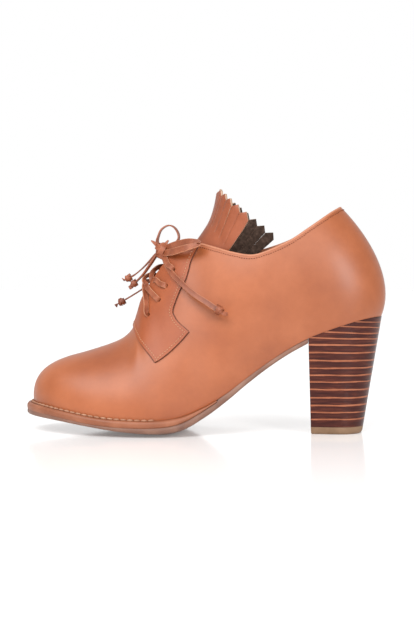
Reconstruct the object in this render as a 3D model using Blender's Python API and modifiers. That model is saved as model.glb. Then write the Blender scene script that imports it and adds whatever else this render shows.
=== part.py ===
# Heeled lace-up oxford shoe, left foot, standing empty on heel and forefoot.
# Sizes are in millimetres and are scaled to metres when meshes are made.
# The toe points to -X, the outer side of the foot is -Y, up is +Z.
# The origin is the middle of the heel's ground face.
import math

import bpy
import bmesh
from mathutils import Matrix, Vector

for old in list(bpy.data.objects):
    bpy.data.objects.remove(old, do_unlink=True)

MM = 0.001
WALL = 1.8
GAP = 0.3
OVERLAY = 1.2
TOE_SHIFT = 4.0
HEEL_HALF_WIDTH = 15.5
HEEL_FOOT_FRONT = -16.6
HEEL_FOOT_BACK = 16.6
TOP_LIFT = 4.7
INSOLE_THICK = 2.4
INSOLE_INSET = 2.5
TONGUE_THICK = 1.7
EYELET_RADIUS = 1.7
LACE_WIDTH = 3.4
LACE_THICK = 1.25
LACE_TUBE = 1.1
BEAD_WIDTH = 4.8
KNOT_WIDTH = 7.4
KNOT_HEIGHT = 8.2
STEPS = 2
ROWS_UP = 11
FACING_COLUMNS = 13

SHOE = bpy.data.collections.new("heeled_oxford")
TOOLS = bpy.data.collections.new("cutting_tools")
bpy.context.scene.collection.children.link(SHOE)
bpy.context.scene.collection.children.link(TOOLS)

# One row for each rib of the last, from the toe tip round to the heel back.
# x, outer y, inner y, z of the foot of the rib, where upper meets sole.
# x, half width, z of the top of the rib, and how much higher the inner side is.
# side push and rise of the lower handle, side push and drop of the upper one,
# and the plan angle of the upper handle, 0 towards the toe and 180 to the heel.
RIB_NAMES = ("fx", "outer", "inner", "fz", "tx", "half", "tz", "lift",
             "push", "rise", "shoulder", "drop", "turn")
RIBS = (
    (-201.9, -4.0, 4.0, 18.4, -176.7, 0, 49.2, 0, 1.8, 17, 18.0, 5.6, 0),
    (-200.2, -4.6, 12.0, 18.4, -176.7, 0, 49.2, 0, 1.8, 17, 18.5, 5.3, 20),
    (-196.2, -12.6, 18.6, 18.1, -176.7, 0, 49.2, 0, 2.0, 17, 19.5, 4.6, 40),
    (-189.5, -20.6, 24.6, 17.5, -176.7, 0, 49.2, 0, 2.0, 17.5, 21, 3.4, 60),
    (-180.5, -27.6, 29.6, 16.3, -174.2, 0, 49.9, 0, 2.2, 18, 22.5, 2.0, 78),
    (-170.5, -32.8, 33.0, 14.8, -167.5, 0, 51.7, 0, 2.4, 19, 23, 1.4, 86),
    (-160.5, -36.5, 36.0, 13.2, -158.6, 0, 54.4, 0, 2.5, 20, 22.5, 1.5, 90),
    (-150.5, -39.0, 38.3, 11.9, -149.6, 0, 57.4, 0, 2.6, 21, 21.6, 1.8, 90),
    (-141.5, -40.6, 39.3, 11.1, -142.0, 0, 60.8, 0, 2.8, 22.5, 20.8, 2.6, 90),
    (-134.0, -41.3, 39.0, 10.7, -136.6, 0, 65.2, 0, 3.0, 24, 20.0, 4.2, 90),
    (-127.5, -41.5, 38.1, 10.5, -132.9, 0, 71.2, 0, 3.0, 25.5, 19.2, 7.0, 90),
    (-121.5, -41.4, 36.8, 10.4, -130.4, 0, 78.4, 0, 3.0, 27, 18.6, 11, 90),
    (-116.0, -40.9, 35.2, 10.6, -127.7, 4.0, 85.6, 0, 3.0, 28.5, 14.3, 14.5, 90),
    (-111.0, -40.1, 33.5, 10.9, -124.0, 5.2, 92.8, 0, 3.2, 30, 13.2, 18, 90),
    (-106.0, -39.1, 31.6, 11.4, -118.6, 6.2, 101.0, 0, 3.6, 31, 12.5, 22, 90),
    (-100.5, -37.7, 29.6, 12.4, -112.5, 7.2, 109.6, 0, 4.4, 32, 12.5, 25, 90),
    (-94.5, -35.9, 27.6, 14.2, -105.8, 8.3, 118.0, 0, 5.4, 33, 12.5, 27.5, 88),
    (-87.5, -33.8, 25.6, 17.2, -98.2, 10.0, 123.9, 0, 6.5, 33, 12, 29, 76),
    (-79.5, -31.4, 23.6, 21.2, -89.0, 14.4, 123.0, .6, 7.4, 32, 10.5, 30, 68),
    (-69.5, -28.9, 21.5, 27.6, -78.5, 20.0, 120.2, 1.7, 8.0, 30, 9, 30, 72),
    (-58.0, -26.3, 19.9, 36.6, -66.5, 24.8, 116.8, 2.9, 8.0, 28, 7.5, 28, 80),
    (-45.0, -24.4, 19.6, 46.2, -53.5, 27.0, 115.1, 3.9, 7.6, 26, 6, 25, 92),
    (-31.5, -23.7, 20.8, 55.1, -41.0, 26.8, 119.1, 3.2, 7.0, 24, 5.4, 23, 100),
    (-18.4, -24.2, 22.7, 62.3, -29.5, 25.4, 124.6, 2.2, 6.6, 22, 5.6, 22.5, 106),
    (-6.0, -25.2, 24.4, 67.3, -19.0, 22.8, 131.7, 1.2, 6.2, 20.5, 7.5, 23, 114),
    (5.5, -25.0, 24.6, 71.2, -10.0, 18.8, 138.1, .6, 6.0, 19, 11, 24, 124),
    (15.5, -21.8, 21.7, 74.1, -3.6, 13.4, 142.7, .2, 6.2, 18, 16, 25.5, 136),
    (22.8, -16.0, 16.0, 75.5, .7, 7.6, 145.5, 0, 6.6, 17, 22, 27, 152),
    (27.4, -8.4, 8.4, 75.9, 2.3, 3.6, 146.6, 0, 6.8, 16.3, 26, 28.3, 167),
    (28.9, 0.0, 0.0, 76.0, 2.7, 0, 146.9, 0, 6.9, 16, 27.6, 28.8, 180),
)
HEEL = len(RIBS) - 1
BREAST = 23
WELT_END = 18.3

# Station, how far the sole stands out from the upper, thickness of the welt
# layer, height of the outsole's lower edge, and camber of its middle.
SOLE_NAMES = ("s", "out", "welt", "low", "camber")
SOLE = (
    (0, 4.6, 4.2, 11.2, 1.2), (2, 4.3, 4.2, 10.7, 1.2), (4, 3.8, 4.2, 9.5, 1.4),
    (6, 3.6, 4.2, 6.9, 1.8), (8, 3.6, 4.2, 4.3, 2.2), (9, 3.6, 4.2, 3.5, 2.4),
    (11, 3.6, 4.2, 2.7, 2.7), (13, 3.5, 4.2, 2.7, 2.7), (14, 3.3, 4.1, 3.2, 2.4),
    (15, 3.0, 3.8, 4.2, 1.9), (16, 2.6, 3.2, 6.4, 1.4), (17, 2.2, 2.2, 10.3, 1.0),
    (18, 1.7, 1.0, 15.4, .8), (19, 1.3, .5, 23.0, .7), (20, 1.0, .5, 32.6, .6),
    (21, .8, .5, 42.6, .5), (22, .6, .5, 51.8, .5), (23, .5, .5, 59.2, .4),
)

# Height up the rib, front end and back end of the facing, in stations.
FACING = (
    (.395, 12.95, 13.4), (.41, 12.85, 14.6), (.43, 12.7, 15.8), (.455, 12.5, 16.75),
    (.49, 12.2, 16.4), (.535, 11.85, 15.95), (.58, 11.5, 15.65), (.63, 11.15, 15.55),
    (.69, 10.8, 16.2), (.74, 10.6, 16.95), (.80, 10.35, 17.3), (.86, 10.15, 17.5),
    (.93, 9.95, 17.8), (1.0, 9.8, 18.05),
)

# Station and height up the rib of each eyelet.
EYELETS = ((13.05, .745), (14.4, .77), (15.2, .81), (16.0, .865))

# Stations on the slit where each crossing has its middle and its far end,
# and how far it stands off the slit.
CROSS_NAMES = ("middle", "far", "proud")
CROSSINGS = ((12.35, 12.8, 4.2), (13.4, 13.75, 4.8), (14.3, 14.6, 5.2))
KNOT = Vector((-115.6, -1.0, 119.9))
SLOPE_UP = Vector((-.78, 0, .62))
BASE_LIFT = GAP + OVERLAY + GAP + LACE_THICK / 2 + .25


def smooth_table(rows, at):
    """Value of every column at a place along a table, through the rows."""
    last = len(rows) - 1
    at = min(max(at, 0.0), float(last))
    base = min(int(at), last - 1)
    t = at - base
    p1 = rows[base]
    p2 = rows[base + 1]
    p0 = rows[base - 1] if base > 0 else tuple(2 * a - b for a, b in zip(p1, p2))
    p3 = rows[base + 2] if base + 2 <= last else tuple(
        2 * b - a for a, b in zip(p1, p2))
    out = []
    for a, b, c, d in zip(p0, p1, p2, p3):
        m1 = (c - a) / 2
        m2 = (d - b) / 2
        h = t * t * (3 - 2 * t)
        out.append(b + (c - b) * h + m1 * t * (1 - t) ** 2 - m2 * t * t * (1 - t))
    return out


def keyed_table(rows, names, key):
    """Columns of a table at a key that lies in its first column."""
    keys = [row[0] for row in rows]
    if key >= keys[-1]:
        return dict(zip(names, rows[-1]))
    index = 0
    while index < len(keys) - 2 and key > keys[index + 1]:
        index += 1
    share = max(0.0, (key - keys[index]) / (keys[index + 1] - keys[index]))
    return dict(zip(names, smooth_table(rows, index + share)))


def foot(s, side):
    """Foot of the rib, where the upper meets the sole; side -1 is outer."""
    rib = dict(zip(RIB_NAMES, smooth_table(RIBS, s)))
    y = rib["outer"] if side < 0 else rib["inner"]
    if s < 1:
        y = TOE_SHIFT + (8.6 if side < 0 else 8.0) * side * s * (1.25 - .25 * s)
    return Vector((rib["fx"], y, rib["fz"]))


def outward(s, side):
    """Level direction that points away from the last at the foot of a rib."""
    if s <= 0.001:
        return Vector((-1, 0, 0))
    if s >= HEEL - .001:
        return Vector((1, 0, 0))
    run = foot(s + .05, side) - foot(s - .05, side)
    return Vector((run.y, -run.x, 0)).normalized() * (-side)


def last_point(s, v, side):
    """Point on the outside of the upper, v from 0 at the sole to 1 on top."""
    rib = dict(zip(RIB_NAMES, smooth_table(RIBS, s)))
    low = foot(s, side)
    ridge = TOE_SHIFT * .7 * max(0.0, 1 - max(0.0, s - 3) / 7)
    half = max(0.0, rib["half"]) if s < HEEL - .001 else 0.0
    top = Vector((rib["tx"], ridge + side * half, rib["tz"]))
    if side > 0:
        top.z += rib["lift"]
    turn = math.radians(rib["turn"])
    aim = Vector((-math.cos(turn), side * math.sin(turn), 0))
    first = low + outward(s, side) * rib["push"] + Vector((0, 0, rib["rise"]))
    second = top + aim * rib["shoulder"] - Vector((0, 0, rib["drop"]))
    w = 1 - v
    return (low * w ** 3 + first * 3 * w * w * v + second * 3 * w * v * v
            + top * v ** 3)


def last_normal(s, v, side):
    """Outward direction of the upper at a point."""
    s = min(max(s, .02), HEEL - .02)
    v = min(max(v, .01), .99)
    along = last_point(s + .02, v, side) - last_point(s - .02, v, side)
    up = last_point(s, v + .01, side) - last_point(s, v - .01, side)
    normal = along.cross(up).normalized()
    return normal if side < 0 else -normal


def material(name, colour, roughness):
    """Plain material for one piece."""
    made = bpy.data.materials.new(name)
    made.use_nodes = True
    shader = made.node_tree.nodes["Principled BSDF"]
    shader.inputs["Base Color"].default_value = (*colour, 1)
    shader.inputs["Roughness"].default_value = roughness
    return made


def place(name, work, look, home=SHOE):
    """Named object from a bmesh in millimetres."""
    bmesh.ops.remove_doubles(work, verts=work.verts, dist=.02)
    bmesh.ops.dissolve_degenerate(work, edges=work.edges, dist=.005)
    bmesh.ops.scale(work, vec=(MM, MM, MM), verts=work.verts)
    mesh = bpy.data.meshes.new(name)
    work.to_mesh(mesh)
    work.free()
    made = bpy.data.objects.new(name, mesh)
    made.data.materials.append(look)
    home.objects.link(made)
    return made


def surface(work, rows):
    """Grid laid through rows of points; returns its vertices row by row."""
    across = len(rows[0])
    made = bmesh.ops.create_grid(work, x_segments=across - 1,
                                 y_segments=len(rows) - 1, size=1)["verts"]
    for index, vert in enumerate(made):
        vert.co = rows[index // across][index % across]
    return made


def thicken(body, thick, offset):
    """Wall on one side of an open surface; an offset past 1 lifts it clear."""
    wall = body.modifiers.new("wall", "SOLIDIFY")
    wall.thickness = thick * MM
    wall.offset = offset
    return body


def loft(name, rings, look, home=SHOE):
    """Closed solid through rings with equal counts, capped at both ends."""
    work = bmesh.new()
    loops = []
    for ring in rings:
        verts = [work.verts.new(point) for point in ring]
        loops.append(verts)
    count = len(rings[0])
    for low, high in zip(loops, loops[1:]):
        for j in range(count):
            k = (j + 1) % count
            work.faces.new((low[j], low[k], high[k], high[j]))
    for verts in (loops[0], loops[-1]):
        for j in range(count // 2):
            quad = [verts[j], verts[j + 1], verts[count - 2 - j], verts[count - 1 - j]]
            corners = list(dict.fromkeys(quad))
            if len(corners) > 2:
                work.faces.new(corners)
    bmesh.ops.recalc_face_normals(work, faces=work.faces)
    return place(name, work, look, home)


def as_cutter(body):
    """Hide a body that only cuts or joins another."""
    body.hide_render = True
    body.display_type = "WIRE"
    return body


def combine(body, tool, operation):
    """Exact Boolean of a body with a hidden tool."""
    step = body.modifiers.new("shape", "BOOLEAN")
    step.operation = operation
    step.solver = "EXACT"
    step.object = tool


def spread(count, first, last):
    """Evenly spaced values with both ends."""
    return [first + (last - first) * i / (count - 1) for i in range(count)]


leather = material("tan_leather", (.60, .25, .13), .45)
facing_look = material("tan_leather_facing", (.62, .27, .14), .45)
tongue_look = material("tan_leather_tongue", (.55, .22, .11), .5)
sole_look = material("sole_leather", (.50, .28, .17), .5)
welt_look = material("welt_leather", (.58, .31, .19), .5)
heel_look = material("stacked_heel", (.13, .035, .03), .35)
lift_look = material("heel_rubber", (.32, .25, .13), .6)
insole_look = material("insole_leather", (.40, .27, .18), .6)
lace_look = material("lace_leather", (.52, .22, .12), .55)

# The upper is one wall over the whole last, open at collar, throat and below.
stations = (spread(5, 0, 4) + spread(21 * STEPS + 1, 4, 25)[1:]
            + spread(5, 25, HEEL)[1:])
heights = spread(ROWS_UP + 1, 0, 1)
work = bmesh.new()
for side in (-1, 1):
    order = stations if side < 0 else stations[::-1]
    surface(work, [[last_point(s, v, side) for s in order] for v in heights])
upper = thicken(place("upper", work, leather), WALL, -1)

# The facing lies over the upper and turns across the ridge below the slit.
work = bmesh.new()
for side in (-1, 1):
    rows = []
    for v, front, back in FACING:
        places = spread(FACING_COLUMNS, front, back)
        if side > 0:
            places = places[::-1]
        rows.append([last_point(s, v, side) for s in places])
    surface(work, rows)
facing = thicken(place("facing", work, facing_look), OVERLAY,
                 1 + 2 * GAP / OVERLAY)


def sole_row(s):
    """Sole sizes at a station."""
    return keyed_table(SOLE, SOLE_NAMES, s)


def sole_section(s, high, low, edge, camber):
    """Section across the foot, round at its rims and cambered below."""
    rims = {side: foot(s, side) + outward(s, side) * edge for side in (-1, 1)}
    flanks = {}
    for side in (-1, 1):
        flanks[side] = []
        for height, push in ((high, -.5), (high - .7, 0), (low + .7, 0), (low, -.7)):
            point = rims[side] + outward(s, side) * push
            point.z = height
            flanks[side].append(point)
    under = [flanks[-1][3].lerp(flanks[1][3], share) for share in (.22, .5, .78)]
    for point in under:
        point.z = low - camber
    return flanks[-1] + under + flanks[1][::-1]


def sole_layer(name, last, high, low, edge, camber, look):
    """Sole layer from the toe back to a station."""
    work = bmesh.new()
    rings = []
    for s in spread(int(last * STEPS) + 1, 0, last):
        section = sole_section(s, high(s), low(s), edge(s), camber(s))
        rings.append([work.verts.new(point) for point in section])
    count = len(rings[0])
    for front, back in zip(rings, rings[1:]):
        for j in range(count):
            k = (j + 1) % count
            work.faces.new((front[j], front[k], back[k], back[j]))
    for ring in (rings[0], rings[-1]):
        work.faces.new(ring)
    bmesh.ops.recalc_face_normals(work, faces=work.faces)
    return place(name, work, look)


def welt_low(s):
    """Underside of the welt layer."""
    return foot(s, -1).z - GAP - sole_row(s)["welt"]


def outsole_top(s):
    """Top of the outsole, under the welt layer or under the upper."""
    if s <= WELT_END + .05:
        return welt_low(s) - GAP
    return foot(s, -1).z - GAP


# The welt layer carries the stitching and tapers out in the waist.
welt = sole_layer("welt", WELT_END, lambda s: foot(s, -1).z - GAP, welt_low,
                  lambda s: sole_row(s)["out"], lambda s: 0, welt_look)

# The outsole has toe spring, ball, arch and waist, and ends at the heel breast.
outsole = sole_layer("outsole", BREAST - .08, outsole_top,
                     lambda s: sole_row(s)["low"],
                     lambda s: sole_row(s)["out"] - .3,
                     lambda s: min(sole_row(s)["camber"], sole_row(s)["low"]),
                     sole_look)


def heel_outline(level):
    """Outline of the heel; level 0 at the ground and 1 at the seat."""
    length = HEEL_FOOT_BACK - HEEL_FOOT_FRONT
    around = []
    for side in (-1, 1):
        part = []
        for s in spread(15, BREAST, HEEL):
            share = (s - BREAST) / (HEEL - BREAST)
            angle = max(0.0, (share - .38) / .62) * math.pi / 2
            along = min(1.0, share / .38) * .53 + .47 * math.sin(angle)
            half = HEEL_HALF_WIDTH * (.93 + .07 * min(1.0, share / .3))
            ground = Vector((HEEL_FOOT_FRONT + length * along,
                             side * half * math.cos(angle), 0))
            seat = foot(s, side) + outward(s, side) * .3
            seat.z -= GAP
            part.append(ground.lerp(seat, level))
        around.append(part)
    return around[0] + around[1][-2::-1]


def heel_cut(height, drawn_in=0):
    """Level outline of the heel at a height, drawn in by an amount."""
    ring = []
    for ground, seat in zip(heel_outline(0), heel_outline(1)):
        point = ground.lerp(seat, height / seat.z)
        away = Vector((point.x, point.y, 0)).normalized()
        point -= away * drawn_in
        point.z = height
        ring.append(point)
    return ring


# The rubber top lift is the flat foot of the heel.
loft("top_lift", [heel_cut(0, .8), heel_cut(.9), heel_cut(TOP_LIFT)], lift_look)

# The stacked heel tapers from the seat of the upper to the top lift.
loft("stacked_heel", [heel_cut(TOP_LIFT + GAP)]
     + [heel_outline(level) for level in (.32, .55, .78, 1)], heel_look)

# The insole closes the inside and lies on welt, outsole and heel seat.
work = bmesh.new()
rows = []
for s in spread(45, 0, HEEL):
    rims = []
    for side in (-1, 1):
        rim = foot(s, side) - outward(s, side) * INSOLE_INSET
        rim.z += .1
        rims.append(rim)
    rows.append([rims[0].lerp(rims[1], share) for share in (0, .5, 1)])
surface(work, rows)
insole = thicken(place("insole", work, insole_look), INSOLE_THICK, -1)

# Rows of the tongue above the throat: middle, outer edge, inner edge, and how
# far the arch between them follows the ankle round.
TONGUE_NAMES = ("cx", "cz", "ox", "oy", "oz", "ix", "iy", "iz", "arch")
TONGUE = (
    (-93.3, 124.0, -83.5, -18.2, 104.5, -80.5, 19.4, 101.0, .20),
    (-88.3, 131.0, -76.0, -19.4, 111.0, -69.5, 21.2, 106.0, .30),
    (-84.3, 137.3, -69.8, -20.6, 118.0, -61.0, 22.4, 111.0, .40),
    (-81.5, 144.0, -65.0, -22.6, 124.5, -54.0, 23.4, 116.2, .48),
    (-80.0, 150.5, -60.5, -24.6, 130.8, -47.6, 23.9, 121.6, .54),
    (-79.3, 156.0, -56.6, -26.4, 137.0, -42.0, 24.2, 126.6, .56),
)
TONGUE_START = 9.9
TONGUE_HELD = 16.4
TONGUE_SPAN = .27
TONGUE_INSET = WALL + GAP + .25
OUTER_STRIPS = 6
INNER_STRIPS = 8
SLIT_SHARE = .08
FRINGE_ROW = 2
TOOTH = 3.2


def held_point(s, w):
    """Tongue surface under the facings, set in from the last."""
    start = 1.4 * max(0.0, 1 - (s - TONGUE_START) / 5)
    if abs(w) >= .2:
        side = -1 if w < 0 else 1
        v = 1 - TONGUE_SPAN * (abs(w) - .2) / .8
        normal = last_normal(s, v, side)
        return last_point(s, v, side) - normal * (TONGUE_INSET + start)
    share = .5 + w / .4
    left = last_point(s, 1, -1)
    right = last_point(s, 1, 1)
    normal = last_normal(s, 1, -1).lerp(last_normal(s, 1, 1), share).normalized()
    lift = (left - right).length * .55 * share * (1 - share)
    bridge = left.lerp(right, share) + SLOPE_UP * lift
    return bridge - normal * (TONGUE_INSET + start)


def free_point(row, w):
    """Tongue surface above the throat, an arch round the ankle."""
    at = dict(zip(TONGUE_NAMES, smooth_table(TONGUE, row)))
    middle = Vector((at["cx"], 0, at["cz"]))
    if w < 0:
        edge = Vector((at["ox"], at["oy"], at["oz"]))
    else:
        edge = Vector((at["ix"], at["iy"], at["iz"]))
    first = middle + Vector((0, edge.y * .5, 0))
    second = edge - Vector((edge.x - middle.x, 0, edge.z - middle.z)) * at["arch"]
    u = abs(w)
    r = 1 - u
    return (middle * r ** 3 + first * 3 * r * r * u + second * 3 * r * u * u
            + edge * u ** 3)


# The tongue runs from under the vamp to its fringed and pinked upper end.
strips = []
for side, count in ((-1, OUTER_STRIPS), (1, INNER_STRIPS)):
    for k in range(count):
        low = (k + (SLIT_SHARE / 2 if k else 0)) / count
        high = (k + 1 - (SLIT_SHARE / 2 if k < count - 1 else 0)) / count
        strips.append(sorted((side * low, side * high)))
across = sorted({w for strip in strips for w in strip})
rows = [[held_point(s, w) for w in across]
        for s in spread(6, TONGUE_START, TONGUE_HELD)]
fringe_from = len(rows) + FRINGE_ROW
rows += [[free_point(row, w) for w in across] for row in range(len(TONGUE))]
work = bmesh.new()
verts = surface(work, rows)
columns = len(across)
slits = [j for j in range(columns - 1)
         if [across[j], across[j + 1]] not in strips]
doomed = []
for i in range(fringe_from, len(rows) - 1):
    for j in slits:
        corners = {verts[i * columns + j], verts[i * columns + j + 1],
                   verts[i * columns + columns + j],
                   verts[i * columns + columns + j + 1]}
        doomed += [face for face in verts[i * columns + j].link_faces
                   if set(face.verts) == corners]
bmesh.ops.delete(work, geom=doomed, context="FACES")
last_row = (len(rows) - 1) * columns
for j in range(columns - 1):
    if j in slits:
        continue
    left = verts[last_row + j]
    right = verts[last_row + j + 1]
    below = (verts[last_row - columns + j].co + verts[last_row - columns + j + 1].co) / 2
    centre = (left.co + right.co) / 2
    tip = work.verts.new(centre + (centre - below).normalized() * TOOTH)
    work.faces.new((left, right, tip))
tongue = thicken(place("tongue", work, tongue_look), TONGUE_THICK, 1)


def ribbon(name, path, wide, width, steps, home=SHOE):
    """Flat strip along points; wide holds the direction of its width."""
    rows = [tuple(point) + tuple(out) for point, out in zip(path, wide)]
    spots = [smooth_table(rows, at)
             for at in spread((len(rows) - 1) * steps + 1, 0, len(rows) - 1)]
    rings = []
    for i, spot in enumerate(spots):
        here = Vector(spot[:3])
        ahead = Vector(spots[min(i + 1, len(spots) - 1)][:3])
        behind = Vector(spots[max(i - 1, 0)][:3])
        run = (ahead - behind).normalized()
        out = Vector(spot[3:])
        out = (out - run * out.dot(run)).normalized() * width / 2
        face = run.cross(out).normalized() * LACE_THICK / 2
        rings.append([here + out + face, here - out + face,
                      here - out - face, here + out - face])
    return loft(name, rings, lace_look, home)


def over(s, v, side, lift):
    """Point above the upper at a distance from its outer face."""
    return last_point(s, v, side) + last_normal(s, v, side) * lift


# Each crossing has one strip from either side, joined where they meet.
for number, row in enumerate(CROSSINGS):
    cross = dict(zip(CROSS_NAMES, row))
    s, v = EYELETS[number]
    joined = []
    for side, raised, width in ((-1, .45, LACE_WIDTH), (1, 0.0, LACE_WIDTH * .9)):
        near = over(cross["middle"], 1, -1, 0)
        centre = near.lerp(over(cross["middle"], 1, 1, 0), .5)
        centre += SLOPE_UP * (cross["proud"] + raised)
        half_way = (s + cross["middle"]) / 2
        path = [over(s - .05, v + .01, side, BASE_LIFT + .3),
                over(half_way, (v + 1) / 2, side, BASE_LIFT + 1.4 + raised),
                centre,
                over(cross["far"], .985, -side, BASE_LIFT + 1.4)]
        along = (path[-1] - path[0]).normalized()
        wide = [n.cross(along) for n in (
            last_normal(s, v, side), last_normal(half_way, .9, side), SLOPE_UP,
            last_normal(cross["far"], 1, -side))]
        if side < 0:
            joined.append(ribbon(f"lace_cross_{number + 1}", path, wide, width, 3))
        else:
            joined.append(ribbon(f"under_strip_{number + 1}", path, wide, width, 4,
                                 TOOLS))
    combine(joined[0], as_cutter(joined[1]), "UNION")

# Round punched holes go through facing and upper at every eyelet.
for number, (s, v) in enumerate(EYELETS):
    for side in (-1, 1):
        normal = last_normal(s, v, side)
        turn = Vector((0, 0, 1)).rotation_difference(normal).to_matrix().to_4x4()
        spot = Matrix.Translation(last_point(s, v, side))
        work = bmesh.new()
        bmesh.ops.create_cone(work, cap_ends=True, segments=8, depth=10,
                              radius1=EYELET_RADIUS, radius2=EYELET_RADIUS,
                              matrix=spot @ turn)
        punch = place(f"punch_{number + 1}_{side + 2}", work, lace_look, TOOLS)
        for body in (upper, facing):
            combine(body, as_cutter(punch), "DIFFERENCE")


def tube(name, path):
    """Plain round stand-in for a free stretch of lace."""
    curve = bpy.data.curves.new(name, "CURVE")
    curve.dimensions = "3D"
    curve.bevel_depth = LACE_TUBE * MM
    curve.bevel_resolution = 2
    curve.use_fill_caps = True
    spots = [smooth_table(path, at)
             for at in spread((len(path) - 1) * 2 + 1, 0, len(path) - 1)]
    line = curve.splines.new("POLY")
    line.points.add(len(spots) - 1)
    for point, spot in zip(line.points, spots):
        point.co = (*(Vector(spot) * MM), 1)
    made = bpy.data.objects.new(name, curve)
    made.data.materials.append(lace_look)
    SHOE.objects.link(made)
    return made


def ball(name, centre, width, height):
    """Rounded knot."""
    work = bmesh.new()
    bmesh.ops.create_uvsphere(work, u_segments=10, v_segments=6, radius=1)
    bmesh.ops.scale(work, vec=(width / 2, width / 2, height / 2), verts=work.verts)
    bmesh.ops.translate(work, vec=centre, verts=work.verts)
    return place(name, work, lace_look)


# The lace is tied in front of the throat: a knot, two loops and four ends.
LOOPS = (
    ("lace_loop_outer", (
        (-111.3, -4.0, 121.8), (-103.6, -10.6, 123.6), (-95.6, -15.8, 124.4),
        (-88.9, -20.8, 123.2), (-92.5, -23.2, 120.0), (-99.2, -20.8, 117.4),
        (-107.4, -16.4, 117.4), (-113.6, -6.6, 117.6))),
    ("lace_loop_inner", (
        (-117.1, 1.1, 123.4), (-118.6, 7.0, 129.5), (-116.3, 10.0, 133.6),
        (-112.4, 11.0, 136.3), (-108.2, 10.0, 134.9), (-105.6, 8.4, 131.0),
        (-107.0, 6.0, 125.4), (-113.1, 2.0, 122.1))),
)
ENDS = (
    ("lace_end_outer", (
        (-117.0, -2.6, 115.2), (-115.4, -10.4, 111.6), (-110.2, -18.0, 106.4),
        (-101.8, -24.6, 98.8), (-93.5, -30.2, 92.4), (-83.5, -34.0, 86.5),
        (-78.0, -35.6, 82.9))),
    ("lace_end_front_1", (
        (-118.7, 1.7, 118.4), (-124.8, 5.6, 111.8), (-130.8, 8.0, 105.9),
        (-136.5, 9.0, 101.8))),
    ("lace_end_front_2", (
        (-119.2, -1.4, 115.6), (-122.3, -1.2, 109.4), (-125.6, -.6, 104.6),
        (-128.8, .6, 101.2), (-132.0, 1.4, 98.4))),
    ("lace_end_front_3", (
        (-114.2, 18.8, 91.2), (-120.3, 17.9, 94.0), (-126.2, 16.9, 95.2),
        (-131.0, 16.2, 93.2), (-135.0, 15.6, 90.6), (-139.4, 17.0, 87.6),
        (-143.0, 18.4, 85.6))),
)
for name, path in LOOPS:
    tube(name, path)
for name, path in ENDS:
    tube(name, path)
    run = (Vector(path[-1]) - Vector(path[-2])).normalized()
    reach = BEAD_WIDTH / 2 + GAP + .1
    ball(name.replace("end", "bead"), Vector(path[-1]) + run * reach,
         BEAD_WIDTH, BEAD_WIDTH)
ball("lace_knot", KNOT, KNOT_WIDTH, KNOT_HEIGHT)

# The top strip comes out of the last eyelets and passes close under the knot.
s, v = EYELETS[3]
under_knot = KNOT - SLOPE_UP * 5.1
path = [over(s - .05, v + .01, -1, BASE_LIFT + .3),
        over(s - .15, .965, -1, BASE_LIFT + .9),
        under_knot + Vector((0, -3.4, -.4)),
        under_knot + Vector((0, 3.4, -.4)),
        over(s - .2, .97, 1, BASE_LIFT + 1.1),
        over(s - .05, v + .01, 1, BASE_LIFT + .3)]
ribbon("lace_top_strip", path, [(.62, 0, .78)] * len(path), LACE_WIDTH, 3)
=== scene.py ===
import math

import bmesh
import bpy
from mathutils import Matrix, Vector


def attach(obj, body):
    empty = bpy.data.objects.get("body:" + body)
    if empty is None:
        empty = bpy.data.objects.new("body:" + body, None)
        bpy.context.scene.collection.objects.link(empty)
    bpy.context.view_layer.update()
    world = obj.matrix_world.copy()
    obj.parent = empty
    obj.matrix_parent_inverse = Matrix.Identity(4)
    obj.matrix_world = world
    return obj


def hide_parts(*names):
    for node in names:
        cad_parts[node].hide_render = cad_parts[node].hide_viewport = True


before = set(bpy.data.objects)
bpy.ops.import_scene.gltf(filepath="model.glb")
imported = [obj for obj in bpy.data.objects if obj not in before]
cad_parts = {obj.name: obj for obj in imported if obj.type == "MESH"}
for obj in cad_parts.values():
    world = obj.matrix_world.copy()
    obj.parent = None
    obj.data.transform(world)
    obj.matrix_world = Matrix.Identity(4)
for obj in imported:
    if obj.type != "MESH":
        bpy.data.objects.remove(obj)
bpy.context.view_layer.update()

# The camera stands 800 mm from the outer side of the left shoe, a little
# above the heel and a few degrees towards it, with a long portrait lens.
eye = Vector((-0.0155, -0.7967, 0.0989))
aim = Vector((-0.0852, 0.0, 0.0780))
lens = bpy.data.cameras.new("camera")
lens.lens = 69.8
lens.sensor_width = 36
camera = bpy.data.objects.new("camera", lens)
camera.matrix_world = (Matrix.Translation(eye)
                       @ (aim - eye).to_track_quat("-Z", "Y").to_matrix().to_4x4())
bpy.context.scene.collection.objects.link(camera)
bpy.context.scene.camera = camera

# The upper: vamp and quarters of smooth vegetable-tanned calf, lasted over a
# 75 mm heel form. Leather and lining are one wall of 1.8 mm that stands on the
# welt and on the heel seat. Sizes are in millimetres, for the whole shoe.
MM = 0.001
WALL = 1.8
TOE_SHIFT = 4.0
SIDES = ((-1, "outer"), (1, "inner"))

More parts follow.
